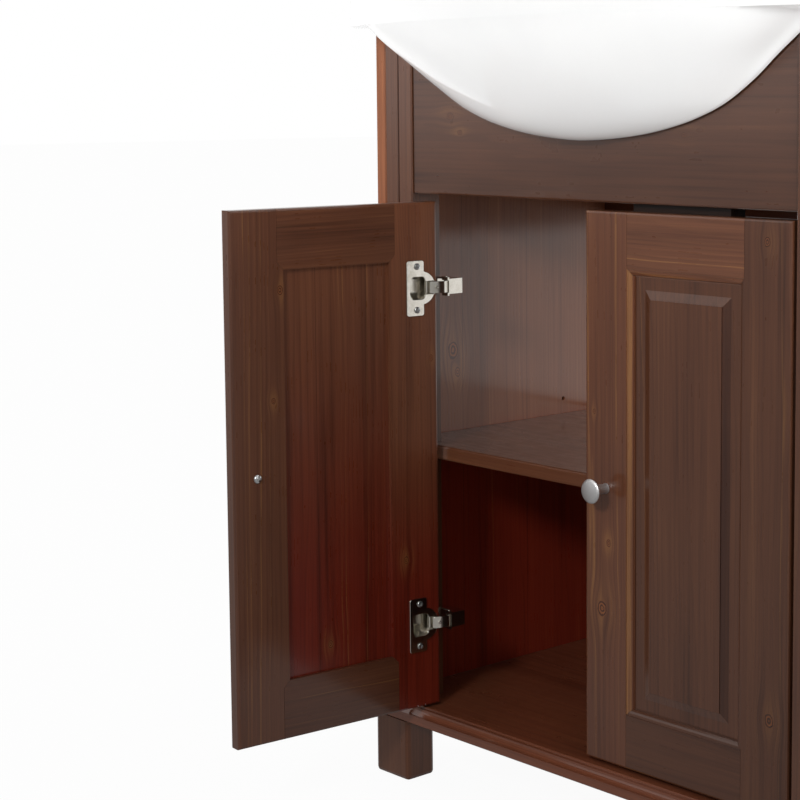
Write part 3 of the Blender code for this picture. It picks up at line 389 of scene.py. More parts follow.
def ceramic(name):
    """White glaze with a slow swell in its surface."""
    web = Web(bpy.data.materials.new(name))
    place = web.place()
    swell = web.noise(place, 9.0, 2.0, 0.5)
    speck = web.noise(place, 420.0, 2.0, 0.5)
    height = web.add(swell, web.times(speck, 0.01))
    web.shader(
        Base_Color=web.mix(web.between(swell, 0.3, 0.7), *GLAZE),
        Roughness=web.between(speck, 0.2, 0.8, 0.06, 0.10),
        Normal=web.bump(height, 0.05, 0.002),
        Coat_Weight=0.4,
        Coat_Roughness=0.04,
    )
    return web.owner


def soften(node, width):
    """Breaks the sharp edges of a solid, as sanding or pressing does."""
    step = nodes[node].modifiers.new("edges", "BEVEL")
    step.limit_method = "ANGLE"
    step.angle_limit = radians(40.0)
    step.width = width * MM
    step.segments = 2
    step.use_clamp_overlap = True


def inner_half(node, axis, way):
    """Depths between which the inner half of a board begins, going way along an axis."""
    low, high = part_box(node)
    middle = (low[axis] + high[axis]) / 2
    return (middle - way * MM, middle + way * MM)


# Heights where the red of the inner faces ends, with the redness below and above. The red low down is
# partly painted shade, for the dark red inside the closed lower part.
SIDE_RED_SHADE = (0.34, 1.0, 0.40, 0.0)
BACK_RED = (0.34, 0.8, 0.40, 0.8)
STILE_RED_SHADE = (0.20, 1.0, 0.44, 0.05)
PANEL_RED_SHADE = (0.20, 1.0, 0.58, 0.05)
RIGHT_INNER = inner_half("right_lock_stile", 1, 1)
LEFT_INNER = tuple(depth + (OPEN_PIN[1] - SHUT_PIN[1]) * MM for depth in RIGHT_INNER)

# Carcass boards
# The left side's stain is paler than the right side's, partly painted light on its inner face, and its
# lacquer fades out above 0.60 m, a painted end to the reflection in that face.
wood("left_side", "ZYX", 3, (-0.30, -0.50), ring=0.0052, gold=0.10, shade=2.15,
     warm=(*inner_half("left_side", 0, 1), *SIDE_RED_SHADE), coat=(0.598, 1.0, 0.630, 0.05),
     knots=((0.478, 0.040, 0.011), (0.452, 0.047, 0.006)), joints=(0.055, 0.16))
wood("right_side", "ZYX", 4, (0.35, 0.50), ring=0.0050, gold=0.15,
     warm=(*inner_half("right_side", 0, -1), *SIDE_RED_SHADE), joints=(0.04, 0.17))
wood("left_post", "ZXY", 5, (-0.10, 0.16), ring=0.0036, gold=0.18, shade=0.80,
     joints=(-0.2896, -0.3112), seam=0.0016, coat=0.95)
wood("right_post", "ZXY", 6, (0.12, 0.16), ring=0.0036, gold=0.18, shade=0.80,
     joints=(0.2896, 0.3112), seam=0.0016, coat=0.95)
wood("fascia_board", "XZY", 7, (0.74, 0.10), ring=0.0052, gold=0.10, shade=0.62, coat=1.0,
     knots=((-0.205, 0.752, 0.006), (-0.190, 0.735, 0.004), (0.130, 0.735, 0.004)))
wood("bottom_board", "XYZ", 8, (0.05, -0.30), ring=0.0058, gold=0.16, shade=1.40, warm=0.20)
wood("shelf", "XYZ", 9, (0.10, 0.67), ring=0.0050, gold=0.25, warm=0.05)
wood("upper_back_rail", "XZY", 10, (0.80, 0.45), ring=0.0050, gold=0.2, shade=0.9, warm=0.2)
wood("lower_back_panel", "ZXY", 11, (0.30, 0.40), ring=0.0050, gold=0.2, shade=0.9,
     warm=(*inner_half("lower_back_panel", 1, -1), *BACK_RED))
# The door stop is painted near black and bare of lacquer: painted shade for the shadow in the gap above the
# right door.
wood("door_stop", "XZY", 12, (0.70, 0.05), ring=0.0040, gold=0.2, shade=0.12, warm=0.1, coat=0.0)
FEET = ("left_front_foot", "right_front_foot", "left_back_foot", "right_back_foot")
for seed, foot in enumerate(FEET, 13):
    middle = (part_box(foot)[0][0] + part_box(foot)[1][0]) / 2
    wood(foot, "ZXY", seed, (middle + 0.10, 0.10), ring=0.0040, gold=0.2, shade=0.90, coat=0.35)

# Right door. The panel's bevel towards the hinges is painted darker, a painted shade, and the top rail is
# painted paler than the bottom rail, partly painted light that falls off downwards.
BEVEL_STRIP = (DOOR_EDGE_X - FIELD_EDGE, DOOR_EDGE_X - FIELD_EDGE + BEVEL_W,
               DOOR_Z + FIELD_EDGE, DOOR_Z + DOOR_H - FIELD_EDGE)
# The lock stile's sticking carries a painted highlight, pale and golden.
wood("right_lock_stile", "ZXY", 21, (-0.08, 0.12), ring=0.0046, gold=0.38, shade=1.02, warm=0.05,
     knots=((0.253, 0.025, 0.0085), (0.322, 0.034, 0.004), (0.455, 0.014, 0.003)), golden_highlight=(0.0578, 0.0640))
wood("right_hinge_stile", "ZXY", 22, (0.36, 0.10), ring=0.0040, gold=0.14, shade=0.70,
     warm=(*RIGHT_INNER, *STILE_RED_SHADE), knots=((0.186, 0.242, 0.007), (0.638, 0.235, 0.005)))
wood("right_top_rail", "XZY", 23, (0.72, 0.10), ring=0.0036, gold=0.28, shade=1.10)
wood("right_bottom_rail", "XZY", 24, (0.00, 0.10), ring=0.0040, gold=0.16, shade=0.70)
right_panel_pine = wood("right_panel", "ZXY", 25, (0.34, 0.12), ring=0.0046, gold=0.08, shade=0.77,
                        warm=(*RIGHT_INNER, *PANEL_RED_SHADE), dim=[spot * MM for spot in BEVEL_STRIP])

# Left door
wood("left_lock_stile", "ZXY", 31, (0.08, -0.12), ring=0.0044, gold=0.35, shade=0.79, warm=0.05,
     knots=((0.574, -0.049, 0.005), (0.458, -0.039, 0.0035)), open_door=True)
wood("left_hinge_stile", "ZXY", 32, (-0.40, -0.12), gold=0.12, shade=1.12, warm=(*LEFT_INNER, *STILE_RED_SHADE),
     knots=((0.486, -0.243, 0.004), (0.263, -0.207, 0.0045)), open_door=True)
wood("left_top_rail", "XZY", 33, (0.74, -0.12), ring=0.0036, gold=0.25, shade=0.78, warm=0.05,
     open_door=True)
wood("left_bottom_rail", "XZY", 34, (-0.02, -0.12), gold=0.20, shade=0.66, warm=0.10, open_door=True)
left_panel_pine = wood("left_panel", "ZXY", 35, (-0.34, -0.16), ring=0.0050, gold=0.12, shade=0.98,
                       warm=(*LEFT_INNER, *PANEL_RED_SHADE), joints=(-0.0955,), open_door=True,
                       knots=((0.184, -0.109, 0.0045), (0.138, -0.043, 0.0035)))

# Metals, each with its clean and its stained colour and the range of its roughness
NICKEL = ((0.76, 0.72, 0.65, 1.0), (0.70, 0.66, 0.58, 1.0), (0.14, 0.20), (60.0, 60.0, 8.0))
EVEN = (60.0, 60.0, 60.0)
nickel = metal("hinge_nickel", *NICKEL)
plate = metal("cup_nickel", *NICKEL, bow=0.09)
satin = metal("satin_nickel", (0.66, 0.65, 0.65, 1.0), (0.62, 0.61, 0.61, 1.0), (0.40, 0.46), EVEN)
zinc = metal("screw_zinc", (0.66, 0.67, 0.67, 1.0), (0.56, 0.57, 0.57, 1.0), (0.22, 0.30), EVEN)
glaze = ceramic("white_glaze")
for name in nodes:
    if name.endswith(("_cup", "_link", "_arm", "_plate")):
        dress(name, nickel)
    elif name.endswith("_knob"):
        dress(name, satin)
    elif "screw" in name or "shelf_pin" in name:
        dress(name, zinc)
    if name.endswith(("_link", "_arm")):
        soften(name, 0.35)
    elif name.endswith("_side") or name in ("upper_back_rail", "lower_back_panel", "door_stop"):
        soften(name, 0.8)
dress("basin", glaze)


def meshed(name, bm):
    """The mesh of a finished shape, with its faces turned outwards."""
    bmesh.ops.recalc_face_normals(bm, faces=bm.faces)
    mesh = bpy.data.meshes.new(name)
    bm.to_mesh(mesh)
    bm.free()
    return mesh


def placed(name, data):
    item = bpy.data.objects.new(name, data)
    bpy.context.scene.collection.objects.link(item)
    return item


def piece(name, bm, body, material, node, angle=35.0, flat=False):
    """Turns a shape into a piece that rides on a body and stands for a node.

    Edges sharper than the angle stay crisp. flat keeps broad faces even where they meet rounded edges.
    """
    mesh = meshed(name, bm)
    mesh.shade_smooth()
    mesh.set_sharp_from_angle(angle=radians(angle))
    mesh.materials.append(material)
    item = placed(name, mesh)
    if flat:
        item.modifiers.new("even", "WEIGHTED_NORMAL").keep_sharp = True
    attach(item, body)
    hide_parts(node)


def baked(item, cutters=()):
    """The mesh of an object after the cutters are taken out of it. The objects themselves go."""
    for cutter in cutters:
        step = item.modifiers.new("cut", "BOOLEAN")
        step.operation = "DIFFERENCE"
        step.solver = "EXACT"
        step.object = cutter
    bpy.context.view_layer.update()
    mesh = bpy.data.meshes.new_from_object(item.evaluated_get(bpy.context.evaluated_depsgraph_get()))
    bm = bmesh.new()
    bm.from_mesh(mesh)
    bpy.data.meshes.remove(mesh)
    for used in (item, *cutters):
        bpy.data.objects.remove(used)
    return bm


def loose(name, bm):
    """A helper object in the scene, for a cut."""
    return placed(name, meshed(name, bm))


def add_prism(bm, points, low, high, place):
    """Adds a straight prism. place turns (a, b, height) into a point."""
    ends = []
    for level in (low, high):
        ends.append([bm.verts.new(place(a, b, level)) for a, b in points])
    bm.faces.new(ends[0])
    bm.faces.new(ends[1])
    for i in range(len(points)):
        j = (i + 1) % len(points)
        bm.faces.new((ends[0][i], ends[0][j], ends[1][j], ends[1][i]))


def arc(cx, cy, radius, start, stop, steps):
    """Points from one angle to another, in degrees."""
    spots = []
    for i in range(steps + 1):
        t = radians(start + (stop - start) * i / steps)
        spots.append((cx + radius * cos(t), cy + radius * sin(t)))
    return spots


def circle(cx, cy, radius, steps):
    return arc(cx, cy, radius, 0.0, 360.0, steps)[:-1]


def turn_profile(bm, profile, steps, place):
    """Adds a turned shape from (radius, height) pairs whose ends lie on the axis. place as in add_prism."""
    rows = []
    for radius, height in profile:
        spots = circle(0.0, 0.0, radius, steps) if radius > 1e-6 else [(0.0, 0.0)]
        rows.append([bm.verts.new(place(a, b, height)) for a, b in spots])
    for low, high in zip(rows, rows[1:]):
        for i in range(steps):
            j = (i + 1) % steps
            ring = [low[i % len(low)], low[j % len(low)], high[j % len(high)], high[i % len(high)]]
            unique = list(dict.fromkeys(ring))
            if len(unique) > 2:
                bm.faces.new(unique)


def set_out(x, y, z):
    """A point in the frame, from millimetres set out from the front plane of the posts."""
    return Vector((x, y + FRONT_Y, z)) * MM


def door_spot(side, u, v, w):
    """A point of a door at rest: u from the hinge edge, v from the outer face and w from the lower edge."""
    x = side * (DOOR_EDGE_X - u)
    y = v - DOOR_PROUD
    if side < 0:
        turn = radians(-OPENING)
        dx = x - SHUT_PIN[0]
        dy = y - SHUT_PIN[1]
        x = OPEN_PIN[0] + dx * cos(turn) - dy * sin(turn)
        y = OPEN_PIN[1] + dx * sin(turn) + dy * cos(turn)
    return set_out(x, y, DOOR_Z + w)


# Basin
BASIN_W = 690.0
CABINET_D = 372.0
BASIN_FRONT = -110.0
RIM_Z = 850.3
RIM_TOP = 893.3
RIM_ROUND = 4.0
RIM_CORNER = 14.0
LIP_ROUND = 8.0
BOW_START = -1.0
APRON_LOW = 728.6
APRON_HALF = 312.0
APRON_EDGE = 5.0
APRON_BULGE = 100.0
APRON_SWELL = 0.5
BOW_POWER = 1.6
FLARE_POWER = 2.6
FLUSH_FROM = 80.0
FLUSH_FULL = 40.0
CUTOUT_LAP = 14.0
BOWL_FIT = 2.0
BOWL_START = 1.5
POST_IN = 267.5
BELLY_D = 280.0
BELLY_CURVE = 3.2
BELLY_POWER = 0.55
BELLY_SIDE = 0.8
LENS_SHARE = 0.8
BOWL_BACK_Y = 235.0
BOWL_FRONT_Y = -80.0
BOWL_HALF_W = 236.0
BOWL_DEPTH = 133.3
BOWL_LIP = 5.0
BOWL_SQUARE = 0.86
BOWL_FLOOR = RIM_TOP - BOWL_DEPTH
WASTE_Y = 112.0
WASTE_R = 23.0
WASTE_LEDGE = 3.0
TAP_Y = 303.0
TAP_R = 17.5
OVERFLOW_R = 9.0
OVERFLOW_DROP = 44.0
POCKET_WALL = 42.0
POCKET_Y = 52.0
POCKET_LEAD = 20.0
CORE_SIDE = 40.0
CORE_FRONT = 22.0
CORE_BACK = 48.0
CORE_LOW = 60.0
DECK_T = 20.0
OVERFLOW_OVER = 12.0
# How the skin is divided: points round a ring's front and rear quarters, and rings
FRONT_STEPS = 48
REAR_STEPS = 44
CORNER_STEPS = 9
LAP_STEPS = 14
BELLY_STEPS = 44
BELLY_SPACING = 1.35
BOWL_STEPS = 30
# Places along the rim's side, as shares of its length
RIM_SIDE = (0.0, 0.05, 0.11, 0.2, 0.4, 0.6, 0.89)
# The bowl's rounded lip, as its reach out of the bowl and shares of BOWL_LIP
LIP_CURVE = ((5.0, 0.16), (3.2, 0.22), (1.4, 0.42), (0.0, 0.8))
# How the bowl falls from its lip to the waste
BOWL_EDGE_FALL = 0.03
BOWL_FALL_POWER = 1.05
BOWL_KEEP_POWER = 0.72
BOWL_ROUND = 0.9
# Outline of the apron on the fascia, as shares of its half width and of its height
APRON_CURVE = (
    (0.102, 0.011),
    (0.229, 0.044),
    (0.352, 0.101),
    (0.470, 0.182),
    (0.586, 0.302),
    (0.697, 0.482),
    (0.784, 0.664),
    (0.837, 0.768),
    (0.877, 0.846),
    (0.910, 0.916),
    (0.942, 0.970),
    (1.000, 1.000),
)


def flowing(points, steps):
    """A smooth line through the points."""
    ends = [Vector((-points[1][0], points[1][1]))] + [Vector(p) for p in points]
    ends.append(ends[-1] * 2 - ends[-2])
    line = []
    for a, b, c, d in zip(ends, ends[1:], ends[2:], ends[3:]):
        for i in range(steps):
            t = i / steps
            line.append(((b * 2) + (c - a) * t + (a * 2 - b * 5 + c * 4 - d) * t * t
                         + (b * 3 - a - c * 3 + d) * t * t * t) * 0.5)
    line.append(ends[-2])
    return [tuple(p) for p in line]


def apron_line(inset):
    tall = RIM_Z - APRON_LOW
    spots = [(0.0, APRON_LOW)] + [(APRON_HALF * a, APRON_LOW + tall * b) for a, b in APRON_CURVE]
    line = flowing(spots, 8)
    moved = []
    for i, spot in enumerate(line):
        before = line[i - 1] if i else (-line[1][0], line[1][1])
        after = line[min(len(line) - 1, i + 1)]
        way = Vector((after[0] - before[0], after[1] - before[1])).normalized()
        moved.append((spot[0] - way[1] * inset, spot[1] + way[0] * inset))
    return moved


OUTER_LINE = apron_line(0.0)
INNER_LINE = apron_line(CUTOUT_LAP + BOWL_FIT)


def half_at(line, z):
    """Half width of a rising line at a height."""
    if z <= line[0][1]:
        return line[0][0]
    for low, high in zip(line, line[1:]):
        if z <= high[1]:
            return low[0] + (z - low[1]) / max(1e-9, high[1] - low[1]) * (high[0] - low[0])
    return line[-1][0]


def ring_from_quarters(front, rear):
    """A whole ring from the right half of its front and of its rear."""
    right = front + rear[1:]
    return right + [(-x, y) for x, y in right[-2:0:-1]]


def ease(value):
    value = min(1.0, max(0.0, value))
    return value * value * (3.0 - 2.0 * value)


def flush(turn):
    """How far the apron meets the rim flush, from 1 at the front to 0 at the sides."""
    return ease((FLUSH_FROM - degrees(turn)) / (FLUSH_FROM - FLUSH_FULL))


def rim_spot(turn, inset):
    depth = BOW_START - BASIN_FRONT - inset
    return ((BASIN_W / 2 - inset) * sin(turn), BOW_START - depth * cos(turn))


def apron_spot(z, turn):
    share = (z - APRON_LOW) / (RIM_Z - APRON_LOW)
    x = half_at(OUTER_LINE, z) * sin(turn)
    y = -FIT * 2 - APRON_EDGE - APRON_BULGE * share ** APRON_SWELL * max(0.0, cos(turn)) ** BOW_POWER
    rim = rim_spot(turn, 0.0)
    pull = flush(turn) * share ** FLARE_POWER
    return (x + (rim[0] - x) * pull, y + (rim[1] - y) * pull)


def quarter(steps):
    return [(pi / 2) * i / steps for i in range(steps + 1)]


def apron_ring(z):
    front = [apron_spot(z, turn) for turn in quarter(FRONT_STEPS)]
    half = half_at(OUTER_LINE, z)
    back_face = -FIT * 2
    low = APRON_LOW + CUTOUT_LAP + BOWL_FIT
    depth = back_face
    if z < low + BOWL_START - FIT:
        inner = min(LENS_SHARE * half, half_at(INNER_LINE, low + BOWL_START))
    else:
        share = (z - low) / (RIM_Z - low)
        depth = BELLY_D * (1.0 - (1.0 - share) ** BELLY_CURVE) ** BELLY_POWER
        inner = min(half_at(INNER_LINE, z), POST_IN - BOWL_FIT)
    rear = [(half, back_face - APRON_EDGE), (half, back_face)]
    for turn in quarter(REAR_STEPS - 2):
        reach = max(0.0, cos(turn)) ** BELLY_SIDE
        rear.append((inner * reach, back_face + (depth - back_face) * sin(turn)))
    return ring_from_quarters(front, rear)


def rim_ring(inset, joined=False):
    """A ring of the rim. Where it is joined, its front lies on the apron's flush part."""
    front = []
    for turn in quarter(FRONT_STEPS):
        front.append(rim_spot(turn, inset * (1.0 - flush(turn)) if joined else inset))
    half = BASIN_W / 2 - inset
    back = CABINET_D - inset
    corner = RIM_CORNER - inset
    deep = back - corner - BOW_START
    rear = [(half, BOW_START + deep * share) for share in RIM_SIDE]
    for turn in quarter(CORNER_STEPS):
        rear.append((half - corner + corner * cos(turn), back - corner + corner * sin(turn)))
    steps = REAR_STEPS - len(RIM_SIDE) - CORNER_STEPS
    for i in range(1, steps + 1):
        rear.append(((half - corner) * (1.0 - i / steps), back))
    return ring_from_quarters(front, rear)


def bowl_ring(half, y0, y1, power):
    mid = (y0 + y1) / 2
    reach = (y1 - y0) / 2
    front = []
    for turn in quarter(FRONT_STEPS):
        front.append((half * sin(turn) ** power, mid - reach * max(0.0, cos(turn)) ** power))
    rear = []
    for turn in quarter(REAR_STEPS):
        rear.append((half * max(0.0, cos(turn)) ** power, mid + reach * sin(turn) ** power))
    return ring_from_quarters(front, rear)


def stack(rings):
    """A closed skin through rings with as many points each, given as (height, points)."""
    bm = bmesh.new()
    loops = [[bm.verts.new(set_out(x, y, z)) for x, y in spots] for z, spots in rings]
    bm.faces.new(loops[0])
    bm.faces.new(loops[-1])
    for low, high in zip(loops, loops[1:]):
        for i in range(len(low)):
            j = (i + 1) % len(low)
            bm.faces.new((low[i], low[j], high[j], high[i]))
    bmesh.ops.remove_doubles(bm, verts=bm.verts, dist=0.00002)
    return bm


def basin():
    """The washbasin with a finer skin than its solid, the same hollow and the same holes."""
    low = APRON_LOW + CUTOUT_LAP + BOWL_FIT
    levels = [APRON_LOW + (low - APRON_LOW) * (i / LAP_STEPS) ** 2 for i in range(1, LAP_STEPS + 1)]
    levels.append(low + BOWL_START)
    for i in range(2, BELLY_STEPS + 1):
        levels.append(low + (RIM_Z - low) * (i / BELLY_STEPS) ** BELLY_SPACING)
    rings = [(z, apron_ring(z)) for z in levels]
    rings.append((RIM_Z + 0.01, rim_ring(RIM_ROUND, True)))
    for spot in arc(RIM_ROUND, RIM_ROUND, RIM_ROUND, 252, 180, 4):
        rings.append((RIM_Z + spot[1], rim_ring(spot[0], True)))
    rings.append((RIM_Z + 0.5 * (RIM_TOP - RIM_Z), rim_ring(0.0)))
    for spot in arc(LIP_ROUND, -LIP_ROUND, LIP_ROUND, 180, 90, 6):
        rings.append((RIM_TOP + spot[1], rim_ring(spot[0])))
    y0 = BOWL_FRONT_Y
    y1 = BOWL_BACK_Y
    half = BOWL_HALF_W
    for reach, drop in LIP_CURVE:
        lip = bowl_ring(half + reach, y0 - reach, y1 + reach, BOWL_SQUARE)
        rings.append((RIM_TOP - BOWL_LIP * drop, lip))
    ledge = WASTE_R + WASTE_LEDGE
    for i in range(1, BOWL_STEPS):
        turn = (pi / 2) * i / BOWL_STEPS
        fall = BOWL_EDGE_FALL + (1.0 - BOWL_EDGE_FALL) * sin(turn) ** BOWL_FALL_POWER
        keep = ledge / half + (1.0 - ledge / half) * max(0.0, cos(turn)) ** BOWL_KEEP_POWER
        front = WASTE_Y + (y0 - WASTE_Y) * keep
        back = WASTE_Y + (y1 - WASTE_Y) * keep
        power = BOWL_ROUND + (1.0 - BOWL_ROUND) * (i / BOWL_STEPS) ** 3
        rings.append((RIM_TOP - BOWL_DEPTH * fall, bowl_ring(half * keep, front, back, power)))
    rings.append((BOWL_FLOOR, bowl_ring(ledge, WASTE_Y - ledge, WASTE_Y + ledge, 1.0)))
    skin = loose("basin_skin", stack(rings))

    pocket = bmesh.new()
    wide = BASIN_W / 2 - POCKET_WALL
    far = CABINET_D - POCKET_WALL
    corners = [(-wide, POCKET_Y), (wide, POCKET_Y), (wide, far), (-wide, far)]
    add_prism(pocket, corners, RIM_Z - POCKET_LEAD, RIM_TOP - DECK_T, set_out)
    core = bowl_ring(half + CORE_SIDE, y0 - CORE_FRONT, y1 + CORE_BACK, BOWL_SQUARE)
    keep = loose("basin_core", stack([(low + CORE_LOW, core), (RIM_TOP + DECK_T, core)]))
    hollow = loose("basin_pocket", baked(loose("pocket_block", pocket), (keep,)))
    holes = bmesh.new()
    add_prism(holes, circle(0.0, WASTE_Y, WASTE_R, 48), APRON_LOW - DECK_T, BOWL_FLOOR + CUT_OVER, set_out)
    add_prism(holes, circle(0.0, TAP_Y, TAP_R, 48), RIM_Z - POCKET_LEAD, RIM_TOP + CUT_OVER, set_out)
    drop = RIM_TOP - OVERFLOW_DROP
    add_prism(holes, circle(0.0, drop, OVERFLOW_R, 32), y1 - CORE_SIDE, y1 + OVERFLOW_OVER,
              lambda a, b, height: set_out(a, height, b))
    bm = baked(skin, (hollow, loose("basin_holes", holes)))
    piece("basin_glazed", bm, "carcass", glaze, "basin", 42.0)


basin()

# Hinge cups
CUP_EDGE = 22.0
CUP_R = 17.3
CUP_WALL = 0.9
CUP_DEPTH = 12.2
CUP_ROUND = 3.0
CUP_INNER_ROUND = 2.4
FLANGE_T = 1.2
FLANGE_NEAR = 18.8
FLANGE_FAR = 42.0
FLANGE_HALF = 30.7
FLANGE_MOON_R = 18.6
FLANGE_CORNER = 3.0
FLANGE_ROLL = 0.5
WINDOW_NEAR = 17.0
WINDOW_FAR = 37.4
WINDOW_HALF = 12.4
WINDOW_CORNER = 5.0
SLOT_NEAR = 5.2
SLOT_HALF = 7.1
CUP_SCREW_EDGE = 28.0
CUP_SCREW_PITCH = 48.0
CUP_SHANK_R = 1.5
CUP_PIN_HALF = 11.2
HINGE_PIN_R = 1.3
PIVOT_INSET = 10.0
PIVOT_DEPTH = 5.0


def flange_outline():
    turn = degrees(atan2(sqrt(FLANGE_MOON_R ** 2 - (CUP_EDGE - FLANGE_NEAR) ** 2), CUP_EDGE - FLANGE_NEAR))
    spots = arc(CUP_EDGE, 0.0, FLANGE_MOON_R, 180.0 - turn, 180.0 + turn, 40)
    c = FLANGE_CORNER
    near = FLANGE_NEAR + c
    far = FLANGE_FAR - c
    tall = FLANGE_HALF - c
    spots += arc(near, -tall, c, 180.0, 270.0, 6)
    spots += arc(far, -tall, c, 270.0, 360.0, 6)
    spots += arc(far, tall, c, 0.0, 90.0, 6)
    spots += arc(near, tall, c, 90.0, 180.0, 6)
    return spots


def window_outline():
    c = WINDOW_CORNER
    upper = arc(WINDOW_FAR - c, WINDOW_HALF - c, c, 0.0, 90.0, 6)
    upper += arc(WINDOW_NEAR + c, WINDOW_HALF - c, c, 90.0, 180.0, 6)
    upper += [(WINDOW_NEAR, SLOT_HALF), (SLOT_NEAR, SLOT_HALF)]
    return upper + [(u, -w) for u, w in upper[::-1]]


def pressed_plate(outlines, thick, roll):
    """A sheet with rolled edges. The first outline is its edge and the others are holes."""
    data = bpy.data.curves.new("sheet", "CURVE")
    data.dimensions = "2D"
    data.fill_mode = "BOTH"
    data.extrude = thick / 2 - roll
    data.bevel_depth = roll
    data.bevel_resolution = 2
    data.offset = -roll
    for outline in outlines:
        line = data.splines.new("POLY")
        line.points.add(len(outline) - 1)
        for point, spot in zip(line.points, outline):
            point.co = (spot[0], spot[1], 0.0, 1.0)
        line.use_cyclic_u = True
    bm = baked(placed("sheet", data))
    bmesh.ops.remove_doubles(bm, verts=bm.verts, dist=0.001)
    return bm


def cup(label, level, side, middle):
    """Pressed flange with a window for the link, the turned cup behind it and the cup pin."""
    name = label + "_" + level + "_cup"
    base = DOOR_T + FIT
    spots = [CUP_SCREW_PITCH / 2, -CUP_SCREW_PITCH / 2]
    holes = [circle(CUP_SCREW_EDGE, spot, CUP_SHANK_R + FIT, 20) for spot in spots]
    bm = pressed_plate([flange_outline(), window_outline()] + holes, FLANGE_T, FLANGE_ROLL)
    for vert in bm.verts:
        u, w, v = vert.co
        vert.co = door_spot(side, u, base + FLANGE_T / 2 + v, middle + w)

    deep = DOOR_T - CUP_DEPTH
    outer = CUP_R
    inner = CUP_R - CUP_WALL
    profile = [(0.0, deep + CUP_WALL)]
    round_in = CUP_INNER_ROUND
    profile += arc(inner - round_in, deep + CUP_WALL + round_in, round_in, 270.0, 360.0, 5)
    profile += [(inner, base), (outer, base)]
    profile += arc(outer - CUP_ROUND, deep + CUP_ROUND, CUP_ROUND, 360.0, 270.0, 5)
    profile += [(0.0, deep)]
    turn_profile(bm, profile, 64, lambda a, b, v: door_spot(side, CUP_EDGE + a, v, middle + b))
    rod = [(0.0, -CUP_PIN_HALF), (HINGE_PIN_R, -CUP_PIN_HALF)]
    rod += [(HINGE_PIN_R, CUP_PIN_HALF), (0.0, CUP_PIN_HALF)]
    turn_profile(
        bm, rod, 20,
        lambda a, b, h: door_spot(side, PIVOT_INSET + a, DOOR_T - PIVOT_DEPTH + b, middle + h),
    )
    piece("pressed_" + name, bm, label + "_door", plate, name, 40.0, True)


# Screws with a cross recess, whose arms are shares of the recess's radius. A screw is the radius of its head
# and of its shank, its length under the head, its head as (inset, rise), and its recess's radius and depth.
CROSS_LONG = 0.62
CROSS_WIDE = 0.17
CUP_SCREW_HEAD = ((0.0, 0.0), (0.0, 0.45), (0.25, 0.75), (0.7, 0.86), (1.9, 0.92))
CUP_SCREW = (3.6, CUP_SHANK_R, 11.0, CUP_SCREW_HEAD, 3.6, 0.8)
KNOB_SCREW_HEAD = ((0.0, 0.0), (0.0, 0.5), (0.3, 1.1), (0.9, 1.7), (1.8, 2.3), (3.1, 2.6))
KNOB_SCREW = (4.7, 2.0, DOOR_T + FIT + 10.0, KNOB_SCREW_HEAD, 3.995, 1.7)
# How far the cup screws are turned, in degrees
SCREW_SPIN = {"lower": 17.0, "upper": 37.0}
SPIN_STEP = 31.0


def cross_head(profile, radius, top, depth):
    """A screw as a mesh about its own axis, with the recess cut into its head."""
    bm = bmesh.new()
    turn_profile(bm, profile, 32, lambda a, b, h: Vector((a, b, h)))
    head = loose("head", bm)
    a = radius * CROSS_LONG
    b = radius * CROSS_WIDE
    half = [(a, b), (b, b), (b, a), (-b, a), (-b, b), (-a, b)]
    outline = half + [(-p, -q) for p, q in half]
    slot = bmesh.new()
    add_prism(slot, outline, top - depth, top + CUT_OVER, lambda p, q, h: Vector((p, q, h)))
    return baked(head, (loose("cross", slot),))


def screw(label, name, side, u, w, base, shape, spin=0.0):
    """A screw of a door, u from the hinge edge and w from the lower edge. base is where its head sits."""
    radius, shank, length, crown, recess, depth = shape
    top = base + crown[-1][1]
    profile = [(0.0, base - length), (shank, base - length), (shank, base)]
    profile += [(radius - inset, base + rise) for inset, rise in crown]
    profile += [(0.0, top)]
    bm = cross_head(profile, recess, top, depth)
    for vert in bm.verts:
        a = vert.co.x * cos(spin) - vert.co.y * sin(spin)
        b = vert.co.x * sin(spin) + vert.co.y * cos(spin)
        vert.co = door_spot(side, u + a, vert.co.z, w + b)
    piece("cross_" + name, bm, label + "_door", zinc, name)


# Knob: its place from the lock edge and above the door's middle, its head, neck and bore, and its curves
KNOB_EDGE = 28.5
KNOB_RAISE = 2.5
KNOB_R = 12.5
KNOB_OUT = 26.0
KNOB_RIM = 3.2
KNOB_RIM_R = 0.9
KNOB_BORE_R = 2.3
KNOB_BORE = 10.0
NECK_R = 4.9
NECK_FOOT = ((0.5, 0.0), (0.35, 0.6), (0.0, 1.4))
NECK_COVE = ((0.0, 7.4), (0.5, 5.8), (1.6, 4.6), (3.6, 3.4))
KNOB_BACK = (1.8, 2.1)
CROWN_R = 0.95 * KNOB_R
CROWN_FLAT = 1.4
CROWN_FALL = 1.2
CROWN_POWER = 2.2
CROWN_STEPS = 12
KNOB_U = DOOR_W - KNOB_EDGE
KNOB_W = DOOR_H / 2 + KNOB_RAISE


